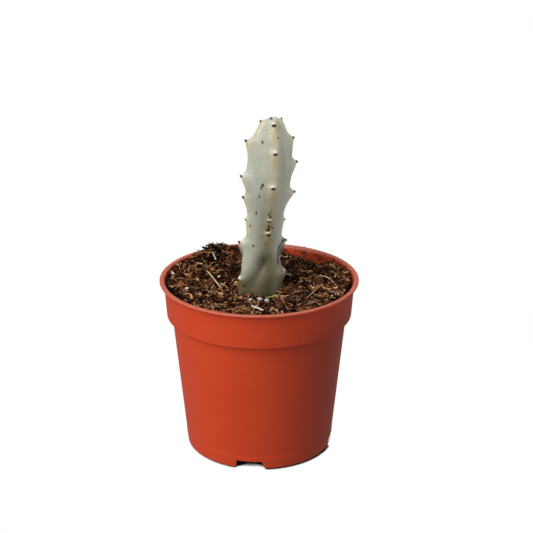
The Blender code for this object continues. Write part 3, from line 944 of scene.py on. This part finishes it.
start_fresh()
bpy.ops.mesh.primitive_uv_sphere_add(segments=STEM_SEGMENTS, ring_count=STEM_RINGS, radius=1.0)
stem = bpy.context.object
stem.name = "euphorbia_skin"
sphere = np.array([v.co for v in stem.data.vertices])
ring = np.arccos(np.clip(sphere[:, 2], -1, 1)) / math.pi * STEM_RINGS
skin_angle = np.degrees(np.arctan2(sphere[:, 1], sphere[:, 0]))
crown = np.clip(ring / CROWN_RINGS, 0, 1)
foot = np.clip((STEM_RINGS - ring) / FOOT_RINGS, 0, 1)
drop = np.clip((ring - CROWN_RINGS) / (STEM_RINGS - CROWN_RINGS - FOOT_RINGS), 0, 1)
skin_height = CROWN_HEIGHT - (CROWN_HEIGHT - STEM_FOOT) * drop
skin_radius = stem_radius(skin_angle, skin_height) * np.sin(crown * math.pi / 2) * np.sin(foot * math.pi / 2)
skin_height = skin_height + CROWN_RISE * np.cos(crown * math.pi / 2)
skin_across = skin_radius * np.cos(np.radians(skin_angle))
skin_depth = skin_radius * np.sin(np.radians(skin_angle))
skin_height = tilted(skin_height, skin_across, skin_depth)
skin_height += crown_lumps(skin_across, skin_depth) * (crown < 1)
lean = smoothed(AXIS_LEAN, skin_height, LEAN_BLEND)
skin = np.column_stack([lean + skin_across, skin_depth, skin_height])
for k, vertex in enumerate(stem.data.vertices):
    vertex.co = Vector(skin[k]) * MM
close_up(stem, STEM_CREASE)
skin = np.array([v.co for v in stem.data.vertices]) / MM
skin_height = skin[:, 2]
skin_lean = smoothed(AXIS_LEAN, skin_height, LEAN_BLEND)
skin_angle = np.degrees(np.arctan2(skin[:, 1], skin[:, 0] - skin_lean))
skin_radius = np.hypot(skin[:, 1], skin[:, 0] - skin_lean)


def mark(angle, height, across, along, turn=0.0):
    """A soft oval mark on the skin, 1 at its middle; its half sizes are in millimetres."""
    sideways = np.radians(angle_off(skin_angle, angle)) * skin_radius
    upwards = skin_height - height
    c, s = math.cos(math.radians(turn)), math.sin(math.radians(turn))
    u = (sideways * c + upwards * s) / across
    v = (upwards * c - sideways * s) / along
    return np.exp(-((u * u + v * v) ** 1.5))


def streak(first, second, width):
    """A soft line on the skin between two (angle, height) places."""
    middle = ((first[0] + second[0]) / 2, (first[1] + second[1]) / 2)
    wide = math.radians(second[0] - first[0]) * STEM_MEAN_RADIUS
    tall = second[1] - first[1]
    return mark(*middle, math.hypot(wide, tall) / 2, width, math.degrees(math.atan2(tall, wide)))


# How much of each tone every point of the skin has: the crests and tubercles are cream, a band runs
# down below each upper tubercle, and a painted highlight lies above its tip.
cream = np.zeros(len(skin))
band = np.zeros(len(skin))
tip_highlight = np.zeros(len(skin))
for number, tubercles in enumerate(TUBERCLES):
    across = np.radians(angle_off(skin_angle, rib_line(number, skin_height))) * skin_radius
    crest = np.exp(-((across / 2.6) ** 2)) * step_up(skin_height, 108, 124)
    cream = np.maximum(cream, (0.55 if number == 0 else 0.34) * crest)
    for z, size in tubercles:
        rib_angle = float(rib_line(number, z))
        cream = np.maximum(cream, mark(rib_angle, z - 0.3, 2.2, 2.2))
        # Painted highlight: a pale spot above each tubercle's tip, stronger on bigger tubercles.
        tip_highlight = np.maximum(tip_highlight, min(1.0, 0.5 * size - 0.1) * mark(rib_angle, z + 1.15, 1.1, 0.65))
        below = z - skin_height
        inside = step_up(below, 0.3, 1.2) * (1 - step_up(below, 5.0, 12.0))
        core = np.exp(-((across / 1.2) ** 4))
        edge = np.exp(-(((np.abs(across) - 1.8) / 0.5) ** 2))
        if z > 116:
            band = np.maximum(band, core * inside)
            cream = np.maximum(cream, 0.8 * edge * inside)

# Brown scars and scratches, and after them the pin-point ones.
scar = np.zeros(len(skin))
for place in (
    mark(-126, 168.5, 0.6, 0.8, 20), mark(-60, 170.8, 0.4, 0.7, 15),
    streak((-109, 147.8), (-116, 143.5), 0.45), 0.8 * streak((-106, 147.5), (-108, 145.5), 0.3),
    streak((-118, 141.0), (-121, 139.2), 0.45), streak((-132, 131.6), (-134, 129.4), 0.5),
    mark(-79, 130.4, 0.7, 0.5, 30), mark(-74, 131.6, 0.4, 0.7, -20),
    0.6 * streak((-156, 124.2), (-153, 121.8), 0.5), mark(-133, 112.6, 0.65, 0.65),
    mark(-85, 114.5, 0.5, 0.4), mark(-87, 105.4, 0.55, 0.4), streak((-137, 91.8), (-128, 90.8), 0.45),
    streak((-114, 87.6), (-104, 86.0), 0.45), mark(-174, 146.2, 0.4, 0.5), mark(5, 143.7, 0.5, 0.5),
    mark(-168, 130.3, 0.4, 0.4), mark(-76, 123.8, 0.5, 1.5), 0.9 * mark(-77, 121.9, 1.5, 0.9),
    mark(-73, 129.0, 0.7, 1.0), 0.8 * streak((-68, 124.0), (-50, 121.8), 0.4),
    0.7 * mark(-62, 124.6, 0.35, 0.5),
):
    scar = np.maximum(scar, place)
for angle, height in (
    (42, 174.5), (-114, 174.2), (-92, 173.1), (-53, 161.3), (-59, 159.4), (-47, 157.0), (-55, 155.1),
    (-98, 137.9), (-55, 135.0), (-124, 134.8), (-45, 124.6), (-41, 122.3), (-53, 120.8), (-42, 114.7),
    (-150, 158.0), (-140, 152.0), (-30, 150.0), (-20, 163.0), (60, 150.0), (120, 160.0), (150, 138.0),
):
    scar = np.maximum(scar, 0.7 * mark(angle, height, 0.32, 0.32))

# Painted shade darkens the creases down the foot's right side, and one down its left side.
crease_and_hollow_shade = np.zeros(len(skin))
for place in (
    streak((8, 115.0), (-6, 111.5), 0.9), streak((-3, 113.0), (-15, 107.5), 1.0),
    streak((-15, 109.0), (-11, 100.8), 0.9), 0.9 * streak((4, 111.5), (-5, 104.0), 0.5),
    streak((-164, 111), (-161, 98.5), 0.9),
):
    crease_and_hollow_shade = np.maximum(crease_and_hollow_shade, place)
# A painted shade darkens the hollow at the foot's front. The foot is olive, partly its corky tone and
# partly painted shade at the front, and some of that tone runs on up the stem's front.
hollow_shade = np.exp(-(angle_off(skin_angle, -80) / 24.0) ** 2) * np.exp(-((skin_height - 103.0) / 4.5) ** 2)
crease_and_hollow_shade = np.maximum(crease_and_hollow_shade, 0.17 * hollow_shade)
front = np.exp(-(angle_off(skin_angle, -60) / 50.0) ** 2)
# Painted shade: the olive reaches higher at the front, over the hollow.
olive_edge = 98.5 + 13.5 * front
olive = 1 - step_up(skin_height, olive_edge - 8, olive_edge + 4)
warm = 0.1 + 0.64 * (1 - step_up(skin_height, 120, 156))
warm *= np.exp(-(angle_off(skin_angle, -88) / 42.0) ** 2)
olive = np.maximum((0.95 - 0.25 * step_up(skin_angle, -62, -25)) * olive, warm)

tones = stem.data.attributes.new("tones", "FLOAT_COLOR", "POINT")
tones.data.foreach_set("color", np.column_stack([cream, band, olive, tip_highlight]).astype(np.float32).ravel())
marks = stem.data.attributes.new("marks", "FLOAT_COLOR", "POINT")
marks.data.foreach_set("color", np.column_stack([scar, crease_and_hollow_shade, tip_highlight, tip_highlight]).astype(np.float32).ravel())

# A succulent's cuticle, grown with a bloom of wax: matt grey-white, a little light passes into it,
# and it is flecked with pin-point brown pores.
waxy_skin = start_material("waxy_succulent_skin")
tree = waxy_skin.node_tree
place = add_node(tree, "ShaderNodeTexCoord")
tone_map = add_node(tree, "ShaderNodeAttribute", {"attribute_name": "tones"})
tone = add_node(tree, "ShaderNodeSeparateColor", {}, {"Color": (tone_map, "Color")})
mark_map = add_node(tree, "ShaderNodeAttribute", {"attribute_name": "marks"})
marked = add_node(tree, "ShaderNodeSeparateColor", {}, {"Color": (mark_map, "Color")})
drawn = add_node(
    tree, "ShaderNodeMapping", {"Scale": (per(4.5), per(4.5), per(16))}, {"Vector": (place, "Object")},
)
streaks = add_node(
    tree, "ShaderNodeTexNoise", {"Scale": 1.0, "Detail": 3.0, "Roughness": 0.6}, {"Vector": drawn},
)
ground = add_node(
    tree, "ShaderNodeValToRGB", {"stops": [(0.3, "#AFB1A2"), (0.5, "#B7BAAA"), (0.72, "#C1C4B7")]},
    {"Fac": (streaks, 0)},
)
# Over the ground lie the cream ribs, the pale band, the olive, the painted highlights and painted shade.
LAYERS = (
    (tone, 0, "#D9CFAE"), (tone, 1, "#CDBF9C"), (tone, 2, "#696140"), (marked, 2, "#F2EEE2"),
    (marked, 1, "#26343A"),
)
unscarred = ground
for layer_map, channel, layer_colour in LAYERS:
    layer = add_node(
        tree, "ShaderNodeMix", {"data_type": "RGBA", 7: linear(layer_colour)},
        {0: (layer_map, channel), 6: unscarred},
    )
    unscarred = (layer, 2)
ragged = add_node(
    tree, "ShaderNodeTexNoise", {"Scale": per(0.8), "Detail": 3.0, "Roughness": 0.7},
    {"Vector": (place, "Object")},
)
torn = add_node(
    tree, "ShaderNodeMath", {"operation": "MULTIPLY_ADD", 1: 0.9, 2: -0.45}, {0: (ragged, 0)},
)
scarred = add_node(tree, "ShaderNodeMath", {"operation": "ADD"}, {0: (marked, 0), 1: torn})
scar_mask = add_node(tree, "ShaderNodeMapRange", {"From Min": 0.2, "From Max": 0.6}, {"Value": scarred})
scar_colour = add_node(
    tree, "ShaderNodeValToRGB", {"stops": [(0.1, "#A77C4A"), (0.5, "#74492E"), (1.0, "#43241A")]},
    {"Fac": scar_mask},
)
with_scar = add_node(
    tree, "ShaderNodeMix", {"data_type": "RGBA"}, {0: scar_mask, 6: unscarred, 7: scar_colour},
)
pores = add_node(
    tree, "ShaderNodeTexVoronoi", {"Scale": per(3.2), "Randomness": 1.0}, {"Vector": (place, "Object")},
)
pore_mask = add_node(
    tree, "ShaderNodeMapRange", {"From Min": 0.11, "From Max": 0.05, "To Max": 0.55},
    {"Value": (pores, "Distance")},
)
with_pores = add_node(
    tree, "ShaderNodeMix", {"data_type": "RGBA", 7: linear("#6B5B4B")}, {0: pore_mask, 6: (with_scar, 2)},
)
wax = add_node(tree, "ShaderNodeMapRange", {"To Min": 0.38, "To Max": 0.55}, {"Value": (streaks, 0)})
wrinkle = add_node(
    tree, "ShaderNodeBump", {"Strength": 0.2, "Distance": 0.12 * MM}, {"Height": (streaks, 0)},
)
crust = add_node(
    tree, "ShaderNodeBump", {"Strength": 0.6, "Distance": 0.12 * MM},
    {"Height": scar_mask, "Normal": wrinkle},
)
cuticle = add_node(
    tree, "ShaderNodeBsdfPrincipled",
    {
        "IOR": 1.42, "Subsurface Weight": 0.9, "Subsurface Radius": (1.0, 0.92, 0.75),
        "Subsurface Scale": 9.0 * MM, "Coat Weight": 0.12, "Coat Roughness": 0.3,
    },
    {"Base Color": (with_pores, 2), "Roughness": wax, "Normal": crust},
)
add_node(tree, "ShaderNodeOutputMaterial", {}, {"Surface": cuticle})
stem.data.materials.append(waxy_skin)
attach(stem, "root")
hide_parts("euphorbia_stem")


# ---- thorn stubs ---------------------------------------------------------------------------------
# On each tubercle sit two blunt corky stubs side by side, the rests of its pair of thorns.
# They grow out of a small pale pad and are almost black at their ends.

STUB_LENGTH = 1.35 * MM
STUB_WIDTH = 1.4 * MM
STUB_SINK = 0.05
STUB_ASIDE = 0.5
STUB_CREASE = 60
STUB_LIFT = 14
STUB_SPLAY = 22
CROWN_LIFT = 70
CROWN_SPLAY = 10
# Stubs on the crown: azimuth, share of the radius, size.
CROWN_STUBS = ((-110.0, 0.26, 1.05), (85.0, 0.18, 0.9), (20.0, 0.5, 0.6), (120.0, 0.5, 0.65))

start_fresh()
bpy.ops.mesh.primitive_uv_sphere_add(segments=12, ring_count=8, radius=0.5)
stub = bpy.context.object
bpy.ops.object.mode_set(mode="EDIT")
pick(stub, lambda v: v.z > 0.1)
bpy.ops.transform.resize(value=(0.8, 0.8, 1.1), center_override=(0, 0, 0.1))
bpy.ops.object.mode_set(mode="OBJECT")
stub_points, stub_faces = template(stub)

stub_places, stub_turns, stub_sizes = [], [], []


def add_stub(angle, height, lift, sideways, size, share=1.0):
    """Places one stub on the skin, pointing outwards, lifted and turned sideways by degrees."""
    turn = math.radians(angle)
    radius = (float(stem_radius(np.array([angle]), np.array([height]))[0]) - STUB_SINK) * share
    if share < 1:
        height += CROWN_RISE * math.sqrt(1 - share * share)
    across, depth = radius * math.cos(turn), radius * math.sin(turn)
    height = float(tilted(np.array([height]), across, depth)[0])
    if share < 1:
        height += float(crown_lumps(across, depth))
    axis = float(smoothed(AXIS_LEAN, np.array([height]), LEAN_BLEND)[0])
    out = Vector((math.cos(turn), math.sin(turn), 0.0))
    side = Vector((-out.y, out.x, 0.0))
    place = Vector((axis, 0, height)) + out * radius + side * STUB_ASIDE * math.copysign(1, sideways)
    way = out + side * math.tan(math.radians(sideways)) + Vector((0, 0, math.tan(math.radians(lift))))
    stub_places.append(place * MM)
    stub_turns.append(np.array(way.to_track_quat("Z", "Y").to_matrix()))
    stub_sizes.append(size)


for number, tubercles in enumerate(TUBERCLES):
    for z, size in tubercles:
        scale = (0.72 if size < 1.2 else 1.0) * (1.1 if number == 0 else 0.95)
        for sideways in (-STUB_SPLAY, STUB_SPLAY):
            add_stub(float(rib_line(number, z)), z + 0.1, STUB_LIFT, sideways, scale)
for angle, share, size in CROWN_STUBS:
    add_stub(angle, CROWN_HEIGHT, CROWN_LIFT, CROWN_SPLAY, size, share)

stretch = np.array(stub_sizes)[:, None] * np.array([STUB_WIDTH, STUB_WIDTH, STUB_LENGTH])
stub_shapes = stub_points[None] * stretch[:, None, :]

# Cork, grown and dried: matt, nearly black, with a lighter red-brown foot.
cork = start_material("dry_thorn_cork")
tree = cork.node_tree
place = add_node(tree, "ShaderNodeTexCoord")
tint = add_node(tree, "ShaderNodeAttribute", {"attribute_name": "tint"})
crumble = add_node(
    tree, "ShaderNodeTexNoise", {"Scale": per(0.5), "Detail": 3.0}, {"Vector": (place, "Object")},
)
mottled = add_node(
    tree, "ShaderNodeMath", {"operation": "MULTIPLY_ADD", 1: 0.35, 2: -0.17}, {0: (crumble, 0)},
)
shade = add_node(
    tree, "ShaderNodeMath", {"operation": "ADD", "use_clamp": True}, {0: (tint, "Fac"), 1: mottled},
)
colour = add_node(
    tree, "ShaderNodeValToRGB",
    {"stops": [(0.0, "#D2A98A"), (0.16, "#965F4A"), (0.38, "#47241F"), (1.0, "#1E0F0D")]}, {"Fac": shade},
)
rough = add_node(
    tree, "ShaderNodeBump", {"Strength": 0.6, "Distance": 0.1 * MM}, {"Height": (crumble, 0)},
)
matter = add_node(
    tree, "ShaderNodeBsdfPrincipled", {"Roughness": 0.6}, {"Base Color": colour, "Normal": rough},
)
add_node(tree, "ShaderNodeOutputMaterial", {}, {"Surface": matter})

stubs = copies(
    "thorn_stubs", stub_shapes, stub_faces, np.array(stub_places), np.array(stub_turns),
    np.zeros(len(stub_shapes)), cork,
)
along_stub = np.tile(stub_points[:, 2] + 0.35, len(stub_shapes)).astype(np.float32)
stubs.data.attributes["tint"].data.foreach_set("value", np.clip(along_stub, 0, 1))
start_fresh()
bpy.context.view_layer.objects.active = stubs
stubs.select_set(True)
bpy.ops.object.shade_smooth_by_angle(angle=math.radians(STUB_CREASE))


# ---- loose bits ----------------------------------------------------------------------------------
# Straw, roots and splinters that came with the soil lie loose on it, half sunk into the crumbs.

STRAND_SIDES = 8
STRAND_STEPS = 6
STRAND_TAPER = 0.5
STRAND_WAVE = 0.08 * MM
STRAND_CREASE = 50
CHIP_ROUGHNESS = 0.035
CHIP_FIRST_SEED = 20
CHIP_LIFT = 0.9 * MM
CHIP_CREASE = 40


def soft_route(route, steps):
    """Evenly spaced points on a smooth curve through a few flat points."""
    ends = [2 * route[0] - route[1]] + list(route) + [2 * route[-1] - route[-2]]
    points = []
    for i in range(1, len(ends) - 2):
        for k in range(steps):
            t = k / steps
            a, b, c, d = ends[i - 1], ends[i], ends[i + 1], ends[i + 2]
            points.append(0.5 * (
                2 * b + (c - a) * t + (2 * a - 5 * b + 4 * c - d) * t * t + (3 * b - a - 3 * c + d) * t ** 3
            ))
    return points + [route[-1]]


def lay_strand(node, route, width, thickness, lift, material):
    """A strand extruded along its route, flattened, tapered at both ends, lying on the soil."""
    points = []
    for i, p in enumerate(soft_route([Vector((x * MM, y * MM, 0)) for x, y in route], STRAND_STEPS)):
        points.append(Vector((p.x, p.y, soil_level(p.x, p.y) + lift + STRAND_WAVE * math.sin(2.2 * i))))
    start_fresh()
    heading = math.atan2(points[1].y - points[0].y, points[1].x - points[0].x)
    bpy.ops.mesh.primitive_circle_add(
        vertices=STRAND_SIDES, radius=0.5, fill_type="NGON", location=(0, 0, 0),
        rotation=(0, math.pi / 2, heading),
    )
    made = bpy.context.object
    made.name = "loose_" + node
    bpy.ops.object.transform_apply(location=False, rotation=True, scale=False)
    bpy.ops.object.mode_set(mode="EDIT")
    bpy.ops.mesh.select_all(action="SELECT")
    bpy.ops.transform.resize(
        value=(width * STRAND_TAPER, width * STRAND_TAPER, thickness * STRAND_TAPER),
        center_override=(0, 0, 0),
    )
    bpy.ops.transform.translate(value=points[0])
    for i in range(1, len(points)):
        growth = 1 / STRAND_TAPER if i == 1 else STRAND_TAPER if i == len(points) - 1 else 1.0
        bpy.ops.mesh.extrude_region_move(TRANSFORM_OT_translate={"value": points[i] - points[i - 1]})
        bpy.ops.transform.resize(value=(growth, growth, growth), center_override=points[i])
        ahead = points[min(i + 1, len(points) - 1)] - points[i - 1]
        turn = math.atan2(ahead.y, ahead.x) - heading
        heading += turn
        bpy.ops.transform.rotate(value=-turn, orient_axis="Z", center_override=points[i])
    close_up(made, STRAND_CREASE)
    made.data.materials.append(material)
    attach(made, "root")
    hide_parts(node)


def plant_material(name, stops, grain_size, roughness):
    """Dry plant matter with fine fibres: colour runs in flecks, with a fibrous relief."""
    material = start_material(name)
    tree = material.node_tree
    place = add_node(tree, "ShaderNodeTexCoord")
    fleck = add_node(
        tree, "ShaderNodeTexNoise", {"Scale": per(grain_size), "Detail": 4.0, "Roughness": 0.65},
        {"Vector": (place, "Object")},
    )
    colour = add_node(tree, "ShaderNodeValToRGB", {"stops": stops}, {"Fac": (fleck, 0)})
    relief = add_node(
        tree, "ShaderNodeBump", {"Strength": 0.5, "Distance": 0.1 * MM}, {"Height": (fleck, 0)},
    )
    matter = add_node(
        tree, "ShaderNodeBsdfPrincipled", {"Roughness": roughness}, {"Base Color": colour, "Normal": relief},
    )
    add_node(tree, "ShaderNodeOutputMaterial", {}, {"Surface": matter})
    return material


# Cereal straw, dried: pale gold with darker flecks and a slight shine.
straw = plant_material("dried_straw", [(0.3, "#B98D5A"), (0.5, "#DCC08C"), (0.7, "#F0E2BE")], 1.2, 0.5)
# Split softwood, weathered: nearly white with fine grey-tan grain.
pale_wood = plant_material(
    "split_pale_wood", [(0.3, "#B9A689"), (0.5, "#E8E0D0"), (0.7, "#FFFDF6")], 1.0, 0.6,
)
# Fine root, dried: tan-brown bark over a pale core.
root_skin = plant_material(
    "dried_root_skin", [(0.3, "#A0683C"), (0.5, "#D09860"), (0.7, "#EFC48F")], 0.9, 0.65,
)
# Pine bark, chipped: grey-red broken faces.
pine_bark = plant_material(
    "chipped_pine_bark", [(0.3, "#5A3A28"), (0.5, "#8F6440"), (0.7, "#C79A63")], 0.8, 0.7,
)
# Volcanic glass, expanded: white grains with a cool grey shade in their pores.
perlite = plant_material(
    "expanded_perlite", [(0.3, "#A9A7B0"), (0.5, "#DAD9E2"), (0.7, "#FAFAFC")], 0.7, 0.7,
)
# A grass blade, fresh: bright yellow-green with pale veins.
grass = plant_material(
    "fresh_grass_blade", [(0.3, "#5E8A2C"), (0.5, "#8DB04A"), (0.7, "#C5D68A")], 1.1, 0.45,
)

# Each strand's node, slot, route, width, thickness and lift in millimetres, and material.
STRANDS = (
    ("straw_stalk", "straw", ((-28, 13.6), (-23.8, 5.3), (-20.2, -3.4)), 0.85, 0.6, 1.1, straw),
    ("splinter_front", "pale_wood", ((-4.0, -35.2), (1.9, -45.2)), 1.2, 0.8, 2.3, pale_wood),
    ("splinter_back", "pale_wood", ((-25.4, 28.2), (-23.4, 22.6)), 0.65, 0.5, 1.4, pale_wood),
    ("splinter_left", "pale_wood", ((-47.0, 8.6), (-44.8, 3.8)), 0.65, 0.5, 1.0, pale_wood),
    ("twig_right", "straw", ((32.0, 8.0), (35.2, 4.6), (37.6, -0.8)), 0.6, 0.5, 1.3, straw),
    (
        "root_long", "root", ((33.2, -5.5), (30.4, -9.5), (27.4, -15.0), (24.3, -22.6)),
        0.6, 0.55, 1.5, root_skin,
    ),
    ("root_short", "root", ((33.4, -5.4), (33.8, -9.6), (37.2, -14)), 0.55, 0.5, 1.3, root_skin),
    ("grass_blade", "grass", ((3.2, -18.0), (6.9, -16.0), (10.6, -13.2)), 1.0, 0.4, 1.9, grass),
)
for name, slot, route, width, thickness, lift, material in STRANDS:
    lay_strand(name, route, width * MM, thickness * MM, lift * MM, material)

# Each chip's node, slot, place, size, turn in degrees, and material.
CHIPS = (
    ("bark_chip_front", "bark", (20.4, -31.2), (2.6, 1.5, 1.0), 60, pine_bark),
    ("bark_chip_stem", "bark", (4.4, -23.0), (3.4, 1.4, 1.0), 100, pine_bark),
    ("wood_chip_right", "pale_wood", (16.6, 15.8), (2.6, 1.1, 0.9), -8, pale_wood),
    ("straw_tuft", "straw", (-21.4, 9.6), (2.6, 1.7, 1.1), 70, straw),
    ("perlite_1", "perlite", (0.2, -17.6), (3.2, 2.0, 1.8), 20, perlite),
    ("perlite_2", "perlite", (-4.6, -18.6), (1.9, 1.6, 1.4), 50, perlite),
    ("perlite_3", "perlite", (4.0, -20.4), (2.5, 2.0, 1.7), 0, perlite),
    ("pale_chip_left", "pale_wood", (-37.6, -11.4), (2.4, 1.5, 1.0), 30, pale_wood),
)
for number, (name, slot, place, size, turn, material) in enumerate(CHIPS):
    x, y = place[0] * MM, place[1] * MM
    start_fresh()
    bpy.ops.mesh.primitive_ico_sphere_add(subdivisions=3, radius=0.5)
    chip = bpy.context.object
    chip.name = "loose_" + name
    bpy.ops.object.mode_set(mode="EDIT")
    bpy.ops.mesh.select_all(action="SELECT")
    bpy.ops.transform.vertex_random(offset=CHIP_ROUGHNESS, uniform=1.0, seed=CHIP_FIRST_SEED + number)
    bpy.ops.transform.resize(value=[s * MM for s in size], center_override=(0, 0, 0))
    bpy.ops.transform.rotate(value=-math.radians(turn), orient_axis="Z", center_override=(0, 0, 0))
    bpy.ops.transform.translate(value=(x, y, soil_level(x, y) + CHIP_LIFT))
    close_up(chip, CHIP_CREASE)
    chip.data.materials.append(material)
    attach(chip, "root")
    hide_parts(name)


# Specks of straw show between the crumbs, lying flat or nearly so.
SPECK_COUNT = 90
SPECK_EDGE = 2.5 * MM
SPECK_CLEAR = 3 * MM
SPECK_LIFT = 0.7 * MM

speck_flat = soil_places(SPECK_COUNT, SOIL_RIM - SPECK_EDGE, STEM_SPACE + SPECK_CLEAR)
speck_length = rng.uniform(0.9, 2.8, SPECK_COUNT) * MM
speck_shapes = fibre_shapes(
    speck_length, rng.uniform(0.45, 0.95, SPECK_COUNT) * MM, rng.normal(0, 0.4, SPECK_COUNT),
    rng.uniform(0, 1, SPECK_COUNT),
)
specks = copies(
    "straw_specks", speck_shapes, fibre_faces,
    np.column_stack([speck_flat, [soil_top(x, y) + SPECK_LIFT for x, y in speck_flat]]),
    turns(rng.uniform(0, math.tau, SPECK_COUNT), rng.normal(0, 0.2, SPECK_COUNT), np.zeros(SPECK_COUNT)),
    np.ones(SPECK_COUNT), straw,
)

# A few crumbs cling to the wall above the soil, most of them at the back right, and some lie on the lip.
CLING_COUNT = 90
CLING_BACK_SHARE = 0.75
CLING_LIP_SHARE = 0.15
CLING_LIFT = 0.05 * MM
WALL_RADIUS = 49.2

at_back = rng.random(CLING_COUNT) < CLING_BACK_SHARE
around = np.where(at_back, rng.uniform(0.2, 1.35, CLING_COUNT), rng.uniform(-3.1, 3.1, CLING_COUNT))
on_lip = rng.random(CLING_COUNT) < CLING_LIP_SHARE
cling_radius = np.where(on_lip, rng.uniform(50.0, 52.2, CLING_COUNT), WALL_RADIUS) * MM
cling_height = np.where(on_lip, LIP_TOP + CLING_LIFT, rng.uniform(87.5, 92.0, CLING_COUNT) * MM)
cling_size = rng.uniform(0.3, 0.8, CLING_COUNT) * MM
cling_shapes = crumb_shapes[rng.integers(0, CRUMB_KINDS, CLING_COUNT)] * cling_size[:, None, None]
clinging = copies(
    "clinging_crumbs", cling_shapes, crumb_faces,
    np.column_stack([cling_radius * np.cos(around), cling_radius * np.sin(around), cling_height]),
    turns(around, np.zeros(CLING_COUNT), rng.uniform(0, math.tau, CLING_COUNT)),
    rng.uniform(0.1, 0.7, CLING_COUNT), coir_crumb,
)
